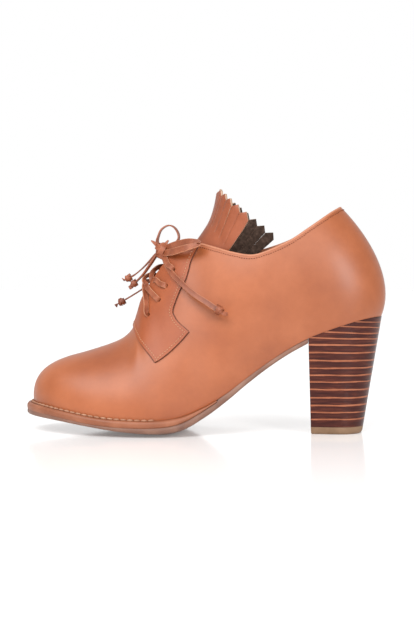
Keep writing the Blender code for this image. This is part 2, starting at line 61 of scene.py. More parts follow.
# One row for each rib of the last, from the toe tip round to the heel back: x,
# outer y, inner y and z of its foot, where upper meets sole; x, half width and
# z of its top, and how much higher the inner side is; push and rise of its
# lower handle, shoulder and drop of its upper one, and that one's plan angle,
# 0 towards the toe and 180 to the heel.
RIB_NAMES = ("fx", "outer", "inner", "fz", "tx", "half", "tz", "lift",
             "push", "rise", "shoulder", "drop", "turn")
RIBS = (
    (-201.9, -4.0, 4.0, 18.4, -176.7, 0, 49.2, 0, 1.8, 17, 18.0, 5.6, 0),
    (-200.2, -4.6, 12.0, 18.4, -176.7, 0, 49.2, 0, 1.8, 17, 18.5, 5.3, 20),
    (-196.2, -12.6, 18.6, 18.1, -176.7, 0, 49.2, 0, 2.0, 17, 19.5, 4.6, 40),
    (-189.5, -20.6, 24.6, 17.5, -176.7, 0, 49.2, 0, 2.0, 17.5, 21, 3.4, 60),
    (-180.5, -27.6, 29.6, 16.3, -174.2, 0, 49.9, 0, 2.2, 18, 22.5, 2.0, 78),
    (-170.5, -32.8, 33.0, 14.8, -167.5, 0, 51.7, 0, 2.4, 19, 23, 1.4, 86),
    (-160.5, -36.5, 36.0, 13.2, -158.6, 0, 54.4, 0, 2.5, 20, 22.5, 1.5, 90),
    (-150.5, -39.0, 38.3, 11.9, -149.6, 0, 57.4, 0, 2.6, 21, 21.6, 1.8, 90),
    (-141.5, -40.6, 39.3, 11.1, -142.0, 0, 60.8, 0, 2.8, 22.5, 20.8, 2.6, 90),
    (-134.0, -41.3, 39.0, 10.7, -136.6, 0, 65.2, 0, 3.0, 24, 20.0, 4.2, 90),
    (-127.5, -41.5, 38.1, 10.5, -132.9, 0, 71.2, 0, 3.0, 25.5, 19.2, 7.0, 90),
    (-121.5, -41.4, 36.8, 10.4, -130.4, 0, 78.4, 0, 3.0, 27, 18.6, 11, 90),
    (-116.0, -40.9, 35.2, 10.6, -127.7, 4.0, 85.6, 0, 3.0, 28.5, 14.3, 14.5, 90),
    (-111.0, -40.1, 33.5, 10.9, -124.0, 5.2, 92.8, 0, 3.2, 30, 13.2, 18, 90),
    (-106.0, -39.1, 31.6, 11.4, -118.6, 6.2, 101.0, 0, 3.6, 31, 12.5, 22, 90),
    (-100.5, -37.7, 29.6, 12.4, -112.5, 7.2, 109.6, 0, 4.4, 32, 12.5, 25, 90),
    (-94.5, -35.9, 27.6, 14.2, -105.8, 8.3, 118.0, 0, 5.4, 33, 12.5, 27.5, 88),
    (-87.5, -33.8, 25.6, 17.2, -98.2, 10.0, 123.9, 0, 6.5, 33, 12, 29, 76),
    (-79.5, -31.4, 23.6, 21.2, -89.0, 14.4, 123.0, .6, 7.4, 32, 10.5, 30, 68),
    (-69.5, -28.9, 21.5, 27.6, -78.5, 20.0, 120.2, 1.7, 8.0, 30, 9, 30, 72),
    (-58.0, -26.3, 19.9, 36.6, -66.5, 24.8, 116.8, 2.9, 8.0, 28, 7.5, 28, 80),
    (-45.0, -24.4, 19.6, 46.2, -53.5, 27.0, 115.1, 3.9, 7.6, 26, 6, 25, 92),
    (-31.5, -23.7, 20.8, 55.1, -41.0, 26.8, 119.1, 3.2, 7.0, 24, 5.4, 23, 100),
    (-18.4, -24.2, 22.7, 62.3, -29.5, 25.4, 124.6, 2.2, 6.6, 22, 5.6, 22.5, 106),
    (-6.0, -25.2, 24.4, 67.3, -19.0, 22.8, 131.7, 1.2, 6.2, 20.5, 7.5, 23, 114),
    (5.5, -25.0, 24.6, 71.2, -10.0, 18.8, 138.1, .6, 6.0, 19, 11, 24, 124),
    (15.5, -21.8, 21.7, 74.1, -3.6, 13.4, 142.7, .2, 6.2, 18, 16, 25.5, 136),
    (22.8, -16.0, 16.0, 75.5, .7, 7.6, 145.5, 0, 6.6, 17, 22, 27, 152),
    (27.4, -8.4, 8.4, 75.9, 2.3, 3.6, 146.6, 0, 6.8, 16.3, 26, 28.3, 167),
    (28.9, 0.0, 0.0, 76.0, 2.7, 0, 146.9, 0, 6.9, 16, 27.6, 28.8, 180),
)
# Ribs that end in the toe's one point, and those at the foot of the lacing
# slit, at the throat, at the front of the heel and at its back.
TOE_POINT = 3
SLIT = 11
THROAT = 17
BREAST = 23
HEEL = len(RIBS) - 1

# Soft swells and hollows where the leather has relaxed: station, height up the rib, reach
# along, reach up, and rise off the last.
SOFT_NAMES = ("s", "v", "long", "tall", "rise")
SOFT_SPOTS = (
    (9.2, .62, .9, .22, -.45), (10.4, .48, .8, .18, .35), (8.0, .82, .7, .15, .3),
    (12.5, .22, 1.3, .12, -.3), (18.6, .55, 1.6, .25, -.7), (20.5, .80, 1.4, .16, .4),
    (22.6, .45, 1.6, .2, -.5), (25.0, .72, 1.5, .2, .45), (16.0, .35, 1.4, .16, .35),
)


def smooth_table(rows, at):
    """Every column at a place along a table, on a smooth line through its rows."""
    last = len(rows) - 1
    at = min(max(at, 0.0), float(last))
    base = min(int(at), last - 1)
    t = at - base
    p1 = rows[base]
    p2 = rows[base + 1]
    p0 = rows[base - 1] if base > 0 else tuple(2 * a - b for a, b in zip(p1, p2))
    p3 = rows[base + 2] if base + 2 <= last else tuple(
        2 * b - a for a, b in zip(p1, p2))
    out = []
    for a, b, c, d in zip(p0, p1, p2, p3):
        m1 = (c - a) / 2
        m2 = (d - b) / 2
        h = t * t * (3 - 2 * t)
        out.append(b + (c - b) * h + m1 * t * (1 - t) ** 2 - m2 * t * t * (1 - t))
    return out


def keyed_table(rows, names, key):
    """Columns of a table at a key that lies in its first column."""
    keys = [row[0] for row in rows]
    if key >= keys[-1]:
        return dict(zip(names, rows[-1]))
    index = 0
    while index < len(keys) - 2 and key > keys[index + 1]:
        index += 1
    share = max(0.0, (key - keys[index]) / (keys[index + 1] - keys[index]))
    return dict(zip(names, smooth_table(rows, index + share)))


def foot(s, side):
    """Foot of the rib, where the upper meets the sole; side -1 is outer."""
    rib = dict(zip(RIB_NAMES, smooth_table(RIBS, s)))
    y = rib["outer"] if side < 0 else rib["inner"]
    if s < 1:
        # the toe tip is drawn round between the first two ribs
        y = TOE_SHIFT + (8.6 if side < 0 else 8.0) * side * s * (1.25 - .25 * s)
    return Vector((rib["fx"], y, rib["fz"]))


def outward(s, side):
    """Level direction away from the last at the foot of a rib."""
    if s <= 0.001:
        return Vector((-1, 0, 0))
    if s >= HEEL - .001:
        return Vector((1, 0, 0))
    run = foot(s + .05, side) - foot(s - .05, side)
    return Vector((run.y, -run.x, 0)).normalized() * (-side)


def last_point(s, v, side):
    """Point on the outside of the upper, v from 0 at the sole to 1 on top."""
    rib = dict(zip(RIB_NAMES, smooth_table(RIBS, s)))
    if s < TOE_POINT:
        tip = dict(zip(RIB_NAMES, RIBS[0]))
        rib["tx"], rib["tz"] = tip["tx"], tip["tz"]
    low = foot(s, side)
    # the ridge runs back to the middle line from the toe, which points inwards
    ridge = TOE_SHIFT * .7 * max(0.0, 1 - max(0.0, s - TOE_POINT) / 7)
    half = rib["half"] if s > SLIT else 0.0
    if s >= HEEL - .001:
        half = 0.0
    top = Vector((rib["tx"], ridge + side * half, rib["tz"]))
    if side > 0:
        top.z += rib["lift"]
    turn = math.radians(rib["turn"])
    ahead = Vector((-math.cos(turn), side * math.sin(turn), 0))
    first = low + outward(s, side) * rib["push"] + Vector((0, 0, rib["rise"]))
    second = top + ahead * rib["shoulder"] - Vector((0, 0, rib["drop"]))
    w = 1 - v
    return (low * w ** 3 + first * 3 * w * w * v + second * 3 * w * v * v
            + top * v ** 3)


def last_normal(s, v, side):
    """Outward direction of the upper at a point."""
    s = min(max(s, .02), HEEL - .02)
    v = min(max(v, .01), .99)
    along = last_point(s + .02, v, side) - last_point(s - .02, v, side)
    up = last_point(s, v + .01, side) - last_point(s, v - .01, side)
    normal = along.cross(up).normalized()
    return normal if side < 0 else -normal


def relaxed(s, v, side):
    """How far the leather stands off the last in its soft spots."""
    rise = 0.0
    for spot in SOFT_SPOTS:
        at = dict(zip(SOFT_NAMES, spot))
        shift = .5 if side > 0 else 0.0
        x = (s - at["s"] - shift) / at["long"]
        z = (v - at["v"]) / at["tall"]
        rise += at["rise"] * math.exp(-x * x - z * z)
    return rise * min(1.0, v / .08) * min(1.0, (1 - v) / .08)


def skin_point(s, v, side, lift=0.0):
    """Point on the leather, or at a distance from it."""
    return (last_point(s, v, side)
            + last_normal(s, v, side) * (relaxed(s, v, side) + lift))


def spread(count, first, last):
    """Evenly spaced values with both ends."""
    return [first + (last - first) * i / (count - 1) for i in range(count)]


def lay_grid(work, rows):
    """Grid laid through rows of points; returns its vertices row by row."""
    across = len(rows[0])
    made = bmesh.ops.create_grid(work, x_segments=across - 1,
                                 y_segments=len(rows) - 1, size=1)["verts"]
    for index, vert in enumerate(made):
        vert.co = rows[index // across][index % across]
    return made


def finish_piece(name, work, looks, sharp=40.0, weld=.01):
    """Object in metres from a bmesh in millimetres, smooth but for sharp edges."""
    bmesh.ops.remove_doubles(work, verts=work.verts, dist=weld)
    bmesh.ops.dissolve_degenerate(work, edges=work.edges, dist=.003)
    bmesh.ops.scale(work, vec=(MM, MM, MM), verts=work.verts)
    for edge in work.edges:
        if len(edge.link_faces) == 2:
            edge.smooth = edge.calc_face_angle(0) < math.radians(sharp)
    for face in work.faces:
        face.smooth = True
    mesh = bpy.data.meshes.new(name)
    work.to_mesh(mesh)
    work.free()
    made = bpy.data.objects.new(name, mesh)
    for look in looks:
        made.data.materials.append(look)
    bpy.context.scene.collection.objects.link(made)
    return made


def settle(piece, sharp=40.0):
    """Make the shapes of a piece's modifiers its own mesh."""
    graph = bpy.context.evaluated_depsgraph_get()
    mesh = bpy.data.meshes.new_from_object(piece.evaluated_get(graph))
    old = piece.data
    piece.modifiers.clear()
    piece.data = mesh
    mesh.name = piece.name
    bpy.data.meshes.remove(old)
    work = bmesh.new()
    work.from_mesh(mesh)
    for edge in work.edges:
        if len(edge.link_faces) == 2:
            edge.smooth = edge.calc_face_angle(0) < math.radians(sharp)
    for face in work.faces:
        face.smooth = True
    work.to_mesh(mesh)
    work.free()


def add_wall(piece, thick, offset, inner=0, rim=0):
    """Wall with its own finish inside and on the cut edge."""
    wall = piece.modifiers.new("wall", "SOLIDIFY")
    wall.thickness = thick * MM
    wall.offset = offset
    wall.material_offset = inner
    wall.material_offset_rim = rim


def round_edges(piece, width, segments=2, angle=55.0, look=-1):
    """Small rounding on the sharp edges of a piece, with a look of its own."""
    edge = piece.modifiers.new("edge", "BEVEL")
    edge.width = width * MM
    edge.segments = segments
    edge.limit_method = "ANGLE"
    edge.angle_limit = math.radians(angle)
    edge.use_clamp_overlap = True
    edge.harden_normals = False
    edge.material = look


def leather(name, deep, middle, light, rough=(.38, .52), grain=.1, coat=0.0,
            patch=28.0, spec=.5, streak=1.0):
    """Leather with soft patches, fine mottling, pores and grain.

    A higher patch makes them smaller, and streak draws them out level.
    """
    look = bpy.data.materials.new(name)
    look.use_nodes = True
    tree = look.node_tree
    new = tree.nodes.new
    link = tree.links.new
    shader = tree.nodes["Principled BSDF"]
    shader.inputs["Coat Weight"].default_value = coat
    shader.inputs["Coat Roughness"].default_value = .42
    shader.inputs["Specular IOR Level"].default_value = spec
    place = new("ShaderNodeTexCoord")
    level = new("ShaderNodeMapping")
    level.inputs["Scale"].default_value = (1, 1, streak)
    soft = new("ShaderNodeTexNoise")
    soft.inputs["Scale"].default_value = patch
    soft.inputs["Detail"].default_value = 3
    soft.inputs["Roughness"].default_value = .55
    fine = new("ShaderNodeTexNoise")
    fine.inputs["Scale"].default_value = 420
    fine.inputs["Detail"].default_value = 4
    pores = new("ShaderNodeTexVoronoi")
    pores.inputs["Scale"].default_value = 1500
    tint = new("ShaderNodeValToRGB")
    tint.color_ramp.elements[0].position = .28
    tint.color_ramp.elements[0].color = (*deep, 1)
    tint.color_ramp.elements[1].position = .74
    tint.color_ramp.elements[1].color = (*light, 1)
    mid = tint.color_ramp.elements.new(.5)
    mid.color = (*middle, 1)
    speck = new("ShaderNodeMapRange")
    speck.inputs["To Min"].default_value = .93
    speck.inputs["To Max"].default_value = 1.06
    shade = new("ShaderNodeVectorMath")
    shade.name = "shade"
    shade.operation = "SCALE"
    gloss = new("ShaderNodeMapRange")
    gloss.inputs["To Min"].default_value = rough[0]
    gloss.inputs["To Max"].default_value = rough[1]
    relief = new("ShaderNodeMath")
    relief.operation = "MULTIPLY_ADD"
    relief.inputs[1].default_value = .35
    bump = new("ShaderNodeBump")
    bump.inputs["Strength"].default_value = grain
    bump.inputs["Distance"].default_value = .0004
    link(place.outputs["Object"], level.inputs["Vector"])
    for node in (soft, fine, pores):
        link(level.outputs["Vector"], node.inputs["Vector"])
    link(soft.outputs["Fac"], tint.inputs["Fac"])
    link(fine.outputs["Fac"], speck.inputs["Value"])
    link(tint.outputs["Color"], shade.inputs[0])
    link(speck.outputs["Result"], shade.inputs["Scale"])
    link(shade.outputs["Vector"], shader.inputs["Base Color"])
    link(soft.outputs["Fac"], gloss.inputs["Value"])
    link(gloss.outputs["Result"], shader.inputs["Roughness"])
    link(pores.outputs["Distance"], relief.inputs[0])
    link(fine.outputs["Fac"], relief.inputs[2])
    link(relief.outputs["Value"], bump.inputs["Height"])
    link(bump.outputs["Normal"], shader.inputs["Normal"])
    return look


def painted_heel_shade(look, front=-.100, back=.005, share=.87):
    """Painted shade: the colour darkens towards the heel, from front to back."""
    tree = look.node_tree
    shade = tree.nodes["shade"]
    speck = shade.inputs["Scale"].links[0].from_socket
    place = tree.nodes.new("ShaderNodeTexCoord")
    split = tree.nodes.new("ShaderNodeSeparateXYZ")
    along = tree.nodes.new("ShaderNodeMapRange")
    along.inputs["From Min"].default_value = front
    along.inputs["From Max"].default_value = back
    along.inputs["To Min"].default_value = 1
    along.inputs["To Max"].default_value = share
    blend = tree.nodes.new("ShaderNodeMath")
    blend.operation = "MULTIPLY"
    tree.links.new(place.outputs["Object"], split.inputs["Vector"])
    tree.links.new(split.outputs["X"], along.inputs["Value"])
    tree.links.new(along.outputs["Result"], blend.inputs[0])
    tree.links.new(speck, blend.inputs[1])
    tree.links.new(blend.outputs["Value"], shade.inputs["Scale"])


tan_calf = leather("tan_calf", (.275, .066, .017), (.335, .087, .024),
                   (.40, .114, .038), (.40, .52), .08, coat=.22)
# The calf is painted with shade that darkens it towards the heel.
painted_heel_shade(tan_calf)
raw_edge = leather("tan_cut_edge", (.30, .10, .045), (.42, .17, .09),
                   (.50, .24, .14), (.6, .75), .25)
lining = leather("natural_lining", (.26, .15, .09), (.32, .19, .115),
                 (.37, .23, .145), (.55, .7), .1)

# Both halves meet on the ridge as far as the slit; behind it they stop a little
# short of the rib's top.
SLIT_INSET = .008
work = bmesh.new()
stations = spread(HEEL * 6 + 1, 0, HEEL)
for side, _ in SIDES:
    rows = []
    for v in spread(45, 0, 1):
        rows.append([skin_point(s, v * (1 - SLIT_INSET * min(1.0, max(0.0, s - SLIT))),
                                side) for s in stations])
    lay_grid(work, rows if side < 0 else [row[::-1] for row in rows])
upper = finish_piece("lasted_upper", work, (tan_calf, lining, raw_edge), 60)
add_wall(upper, WALL, -1, inner=1, rim=2)
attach(upper, "root")
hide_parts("upper")

# The collar edge is folded over and closed with one row of fine brown thread
# about 2 mm below it, so the fold shows as a thin pale rounded rim.
COLLAR_ROLL = .8
COLLAR_WIDE = 1.68
COLLAR_DEEP = 1.84
COLLAR_SEAM = 2.0
COLLAR_PITCH = 1.6
COLLAR_STITCH = .95
COLLAR_THREAD = .26
THREAD_SINK = .08
folded_edge = leather("folded_collar_edge", (.36, .12, .055), (.42, .155, .078),
                      (.47, .19, .105), (.38, .5), .08)
seam_thread = leather("brown_thread", (.10, .026, .010), (.14, .038, .015),
                      (.18, .055, .024), (.6, .75), .3, spec=.2)


# How far out on a strip's section its cut edges begin.
CUT_FROM = .7


def strip_rings(work, points, wides, width, thick, around=16, square=.4, hollow=.5,
                cut=0):
    """Strip along points, closed at both ends, with its cut edges' own look.

    A low square gives sharp corners, and hollow thins the strip's middle.
    """
    rows = []
    count = len(points)
    for i, here in enumerate(points):
        run = (points[min(i + 1, count - 1)] - points[max(i - 1, 0)]).normalized()
        out = (wides[i] - run * wides[i].dot(run)).normalized()
        face = run.cross(out).normalized()
        wide = width[i] if isinstance(width, list) else width
        ring = []
        for k in range(around + 1):
            angle = 2 * math.pi * k / around
            x = math.copysign(abs(math.cos(angle)) ** square, math.cos(angle))
            y = math.copysign(abs(math.sin(angle)) ** square, math.sin(angle))
            y *= 1 - hollow * (1 - x * x)
            ring.append(here + out * (x * wide / 2) + face * (y * thick / 2))
        rows.append(ring)
    made = lay_grid(work, rows)
    flanks = {vert for index, vert in enumerate(made)
              if abs(math.cos(2 * math.pi * (index % (around + 1)) / around)) > CUT_FROM}
    for face in {face for vert in flanks for face in vert.link_faces}:
        if flanks.issuperset(face.verts):
            face.material_index = cut
    bmesh.ops.remove_doubles(work, verts=made, dist=.001)
    rims = [edge for edge in work.edges if edge.is_boundary]
    caps = bmesh.ops.holes_fill(work, edges=rims, sides=0)["faces"]
    bmesh.ops.triangulate(work, faces=caps)
    bmesh.ops.recalc_face_normals(work, faces=work.faces)


def sew(name, seam, pitch, length, radius, look, sink=0.0, lean=0.0):
    """Row of thread stitches along points with outward directions.

    They may be sunk in the leather, and lean across the seam.
    """
    work = bmesh.new()
    travelled = 0.0
    due = pitch / 2
    for (a, normal), (b, _) in zip(seam, seam[1:]):
        step = (b - a).length
        while travelled + step >= due and step > 1e-6:
            centre = a.lerp(b, (due - travelled) / step) + normal * (radius - sink)
            run = (b - a).normalized()
            side = normal.cross(run).normalized()
            run = (run + side * lean).normalized()
            side = normal.cross(run).normalized()
            turn = Matrix((run, side, normal)).transposed().to_4x4()
            size = Matrix.Diagonal((length / 2, radius * 1.15, radius, 1))
            bmesh.ops.create_uvsphere(work, u_segments=6, v_segments=5, radius=1,
                                      matrix=Matrix.Translation(centre) @ turn
                                      @ size @ Matrix.Rotation(math.pi / 2, 4, "Y"))
            due += pitch
        travelled += step
    return finish_piece(name, work, (look,), 80, .0001)


work = bmesh.new()
rim = []
for side, _ in SIDES:
    part = [(s, side) for s in spread(97, THROAT - .35, HEEL)]
    rim += part if side < 0 else part[-2::-1]
line = [skin_point(s, 1, side, -COLLAR_ROLL) for s, side in rim]
ups = [Vector((0, 0, 1))] * len(line)
strip_rings(work, line, ups, COLLAR_WIDE, COLLAR_DEEP, around=12, square=1.0, hollow=0.0)
collar_edge = finish_piece("folded_collar_edge", work, (folded_edge,))
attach(collar_edge, "root")


def down_from_top(s, side, drop):
    """Height up the rib at a distance below its top."""
    v = 1.0
    here = last_point(s, v, side)
    gone = 0.0
    while gone < drop and v > .5:
        v -= .004
        lower = last_point(s, v, side)
        gone += (lower - here).length
        here = lower
    return v


for side, name in SIDES:
    seam = []
    for s in spread(140, THROAT + .15, HEEL - .02):
        v = down_from_top(s, side, COLLAR_SEAM)
        seam.append((skin_point(s, v, side), last_normal(s, v, side)))
    row = sew(f"collar_stitching_{name}", seam, COLLAR_PITCH, COLLAR_STITCH,
              COLLAR_THREAD, seam_thread, THREAD_SINK)
    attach(row, "root")

# The side facings: one layer of the same calf over the quarters on both sides
# of the slit, joined below it, cut with an open edge and sewn close to it.
OVERLAY = 1.2
FACING_LIFT = .05
FACING_ROUND = .38

# Height up the ribs, and the stations of the front and back edges there. The
# corner is the row where the back edge turns sharply.
FACING = (
    (.395, 12.95, 13.4), (.41, 12.85, 14.6), (.43, 12.7, 15.8), (.455, 12.5, 16.75),
    (.49, 12.2, 16.4), (.535, 11.85, 15.95), (.58, 11.5, 15.65), (.63, 11.15, 15.55),
    (.69, 10.8, 16.2), (.74, 10.6, 16.95), (.80, 10.35, 17.3), (.86, 10.15, 17.5),
    (.93, 9.95, 17.8), (1.0, 9.8, 18.05),
)
FACING_CORNER = 3
facing_calf = leather("facing_calf", (.24, .048, .010), (.29, .062, .013),
                      (.34, .082, .022), (.42, .52), .09, coat=.05)
# Painted shade: a dark brown look for the shadow lines along the facing's cut edge and in
# the crease under the foot of the upper.
edge_shadow = leather("painted_edge_shadow", (.10, .026, .010), (.14, .038, .015),
                   (.18, .052, .022), (.5, .65), .2)


def facing_row(at):
    """Height, front end and back end of the facing at a place in its table."""
    if at <= FACING_CORNER:
        return smooth_table(FACING[:FACING_CORNER + 1], at)
    return smooth_table(FACING[FACING_CORNER:], at - FACING_CORNER)


work = bmesh.new()
levels = spread((len(FACING) - 1) * 5 + 1, 0, len(FACING) - 1)
for side, _ in SIDES:
    rows = []
    for at in levels:
        v, front, back = facing_row(at)
        places = spread(49, front, back)
        if side > 0:
            places = places[::-1]
        rows.append([skin_point(s, v, side) for s in places])
    lay_grid(work, rows)
facing = finish_piece("side_facings", work, (facing_calf, edge_shadow, raw_edge), 60)
# The wall of the facing's cut edge takes the dark look as a painted shadow line, and the
# rounded corner above it takes the paler cut-edge look, partly as a painted highlight.
add_wall(facing, OVERLAY, 1 + 2 * FACING_LIFT / OVERLAY, rim=1)
round_edges(facing, FACING_ROUND, look=2)
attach(facing, "root")
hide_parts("facing")

# The lace holes, four a side, are punched clean through facing and quarter
# with a round punch and left bare, without metal eyelets. Station and height.
LACE_HOLES = ((13.05, .745), (14.4, .77), (15.2, .81), (16.0, .865))
HOLE_RADIUS = 1.6
PUNCH_LENGTH = 10
work = bmesh.new()
for s, v in LACE_HOLES:
    for side, _ in SIDES:
        normal = last_normal(s, v, side)
        turn = Vector((0, 0, 1)).rotation_difference(normal).to_matrix().to_4x4()
        bmesh.ops.create_cone(work, cap_ends=True, segments=20, depth=PUNCH_LENGTH,
                              radius1=HOLE_RADIUS, radius2=HOLE_RADIUS,
                              matrix=Matrix.Translation(last_point(s, v, side)) @ turn)
punch = finish_piece("hole_punch", work, (raw_edge,))
for piece in (upper, facing):
    cut = piece.modifiers.new("holes", "BOOLEAN")
    cut.operation = "DIFFERENCE"
    cut.solver = "EXACT"
    cut.object = punch
    settle(piece, 50)
bpy.data.objects.remove(punch, do_unlink=True)

# The facings' row of pale thread follows the cut edge 1.9 mm inside it, and a thin dark
# strip of painted shadow fills the crease where that edge stands on the quarter.
SEAM_INSET = 1.9
FACING_PITCH = 1.95
FACING_STITCH = 1.15
FACING_THREAD = .25
CORNER_SHARE = .93
SHADOW_OUT = .22
SHADOW_WIDE = .65
SHADOW_DEEP = .35
SHADOW_FROM = 4
facing_thread = leather("tan_thread", (.42, .19, .10), (.48, .24, .13),
                        (.54, .30, .18), (.55, .7), .3)
for side, name in SIDES:
    outline = []
    for at in levels[::-1]:
        v, front, back = facing_row(at)
        outline.append((front, v))
    for at in levels[1:]:
        v, front, back = facing_row(at)
        outline.append((back, v))
    points = [skin_point(s, v, side, OVERLAY + FACING_LIFT) for s, v in outline]
    inset = []
    crease = []
    inward = []
    for i, here in enumerate(points):
        run = (points[min(i + 1, len(points) - 1)] - points[max(i - 1, 0)])
        normal = last_normal(outline[i][0], outline[i][1], side)
        across = normal.cross(run).normalized() * (-side)
        inset.append((here + across * SEAM_INSET, normal))
        crease.append(here - across * SHADOW_OUT - normal * (OVERLAY - .05))
        inward.append(across)
    # at a corner the needle skips what lies too near the other edge
    seam = [(spot, normal) for spot, normal in inset
            if all((spot - other).length >= SEAM_INSET * CORNER_SHARE
                   for other in points)]
    row = sew(f"facing_stitching_{name}", seam, FACING_PITCH, FACING_STITCH,
              FACING_THREAD, facing_thread, THREAD_SINK)
    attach(row, "root")
    # A thin dark strip of painted shadow along the facing's edge.
    work = bmesh.new()
    strip_rings(work, crease[SHADOW_FROM:], inward[SHADOW_FROM:], SHADOW_WIDE, SHADOW_DEEP,
                around=8, square=1.0, hollow=0.0)
    shadow_strip = finish_piece(f"facing_edge_shadow_{name}", work, (edge_shadow,), 60, .001)
    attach(shadow_strip, "root")

# The tongue: tan calf backed with dark brown suede, slipped under the facings;
# its upper end is cut into a fringe of strips whose tips are pinked.
TONGUE_START = 9.9
TONGUE_HELD = 16.4
TONGUE_SPAN = .27
TONGUE_INSET = WALL + .55
TONGUE_DIP = 1.4
DIP_RIBS = 5
TONGUE_THICK = 1.7
TONGUE_ROUND = .16
OUTER_STRIPS = 6
INNER_STRIPS = 10
SLIT_SHARE = .015
FRINGE_START = 3.0
FRINGE_BEND = 1.6
STRIP_NARROWING = .012
TOOTH_SHARE = .95
SLOPE_UP = Vector((-.78, 0, .62))

# Rows up the tongue: x and z of its middle line, its outer edge, its inner
# edge, and how far the arch between them is drawn in towards the middle.
TONGUE_NAMES = ("cx", "cz", "ox", "oy", "oz", "ix", "iy", "iz", "arch")
TONGUE = (
    (-93.3, 124.0, -83.5, -18.2, 104.5, -80.5, 19.4, 101.0, .20),
    (-88.3, 131.0, -76.0, -19.4, 111.0, -69.5, 21.2, 106.0, .30),
    (-84.3, 137.3, -69.8, -20.6, 118.0, -61.0, 22.4, 111.0, .40),
    (-81.5, 144.0, -65.0, -22.6, 124.5, -54.0, 23.4, 116.2, .48),
    (-79.3, 150.5, -60.5, -24.6, 130.8, -47.6, 23.9, 121.6, .54),
    (-77.6, 156.0, -56.6, -26.4, 137.0, -42.0, 24.2, 126.6, .56),
)

# How each strip of the fringe leans off the arch at its tip, in mm, and how
# much it turns across, from the outer edge of the tongue to the inner edge.
STRIP_LEAN = (.3, 0, .4, .1, .4, 0, 1.0, 1.7, .9, .3, .1, .1, .2, .1, .1, 0)
STRIP_TURN = (.2, .4, -.2, .3, .4, .3, -.2, .2, -.3, -.1, .1, .1, -.1, .1, 0, 0)
tongue_calf = leather("tongue_calf", (.20, .045, .013), (.265, .062, .019),
                      (.33, .085, .032), (.42, .54), .12, coat=.1, patch=50)
dark_suede = leather("dark_suede", (.036, .021, .015), (.062, .038, .028),
                     (.11, .068, .052), (.85, .95), .9, patch=420, spec=.15)
pale_edge = leather("pale_cut_edge", (.30, .18, .115), (.42, .27, .185),
                    (.52, .36, .27), (.6, .75), .3, patch=120)


def held_point(s, w):
    """Tongue under the facings, set in from the last and deeper at its start."""
    start = TONGUE_DIP * max(0.0, 1 - (s - TONGUE_START) / DIP_RIBS)
    if abs(w) >= .2:
        side = -1 if w < 0 else 1
        v = 1 - TONGUE_SPAN * (abs(w) - .2) / .8
        normal = last_normal(s, v, side)
        return last_point(s, v, side) - normal * (TONGUE_INSET + start)
    share = .5 + w / .4
    left = last_point(s, 1, -1)
    right = last_point(s, 1, 1)
    normal = last_normal(s, 1, -1).lerp(last_normal(s, 1, 1), share).normalized()
    lift = (left - right).length * .55 * share * (1 - share)
    bridge = left.lerp(right, share) + SLOPE_UP * lift
    return bridge - normal * (TONGUE_INSET + start)


def free_point(row, w):
    """Tongue above the throat, an arch round the ankle."""
    at = dict(zip(TONGUE_NAMES, smooth_table(TONGUE, row)))
    middle = Vector((at["cx"], 0, at["cz"]))
    if w < 0:
        edge = Vector((at["ox"], at["oy"], at["oz"]))
    else:
        edge = Vector((at["ix"], at["iy"], at["iz"]))
    first = middle + Vector((0, edge.y * .5, 0))
    second = edge - Vector((edge.x - middle.x, 0, edge.z - middle.z)) * at["arch"]
    u = abs(w)
    r = 1 - u
    return (middle * r ** 3 + first * 3 * r * r * u + second * 3 * r * u * u
            + edge * u ** 3)


def tongue_point(place, w):
    """Tongue surface; place runs over the held rows and then the free ones."""
    if place <= 0:
        return held_point(TONGUE_HELD + place, w)
    if place >= 1:
        return free_point(place - 1, w)
    t = place
    a = held_point(TONGUE_HELD, w)
    b = free_point(0, w)
    before = held_point(TONGUE_HELD - 1, w)
    after = free_point(1, w)
    m1 = (b - before) / 2
    m2 = (after - a) / 2
    h = t * t * (3 - 2 * t)
    return a + (b - a) * h + m1 * t * (1 - t) ** 2 - m2 * t * t * (1 - t)


strips = []
for side, count in ((-1, OUTER_STRIPS), (1, INNER_STRIPS)):
    for k in range(count):
        low = (k + (SLIT_SHARE / 2 if k else 0)) / count
        high = (k + 1 - (SLIT_SHARE / 2 if k < count - 1 else 0)) / count
        strips.append(tuple(sorted((side * low, side * high))))
strips.sort()
across = sorted({round(a + (b - a) * k / 4, 6) for a, b in strips for k in range(5)})
places = (spread(27, TONGUE_START - TONGUE_HELD, 0) + spread(5, 0, 1)[1:]
          + spread(31, 1, len(TONGUE))[1:])
work = bmesh.new()
rows = []
for place in places:
    row = []
    for w in across:
        point = tongue_point(place, w)
        free = max(0.0, (place - FRINGE_START) / (len(TONGUE) - FRINGE_START))
        for k, (a, b) in enumerate(strips):
            if a - 1e-6 <= w <= b + 1e-6 and free > 0:
                middle = tongue_point(place, (a + b) / 2)
                half = (tongue_point(place, b) - tongue_point(place, a)) / 2
                up = tongue_point(place, w) - tongue_point(place - .1, w)
                out = up.cross(half).normalized()
                bend = (w - (a + b) / 2) / ((b - a) / 2)
                point = middle.lerp(point, 1 - STRIP_NARROWING * free)
                point += out * free ** FRINGE_BEND * (STRIP_LEAN[k] + STRIP_TURN[k] * bend)
        row.append(point)
    rows.append(row)
verts = lay_grid(work, rows)
columns = len(across)
gaps = [j for j in range(columns - 1)
        if not any(a - 1e-6 <= across[j] and across[j + 1] <= b + 1e-6
                   for a, b in strips)]
doomed = []
for i in range(len(places) - 1):
    if places[i] < FRINGE_START - 1e-6:
        continue
    for j in gaps:
        corners = {verts[(i + a) * columns + j + b] for a in (0, 1) for b in (0, 1)}
        doomed += [face for face in verts[i * columns + j].link_faces
                   if set(face.verts) == corners]
bmesh.ops.delete(work, geom=doomed, context="FACES")
last_row = (len(places) - 1) * columns
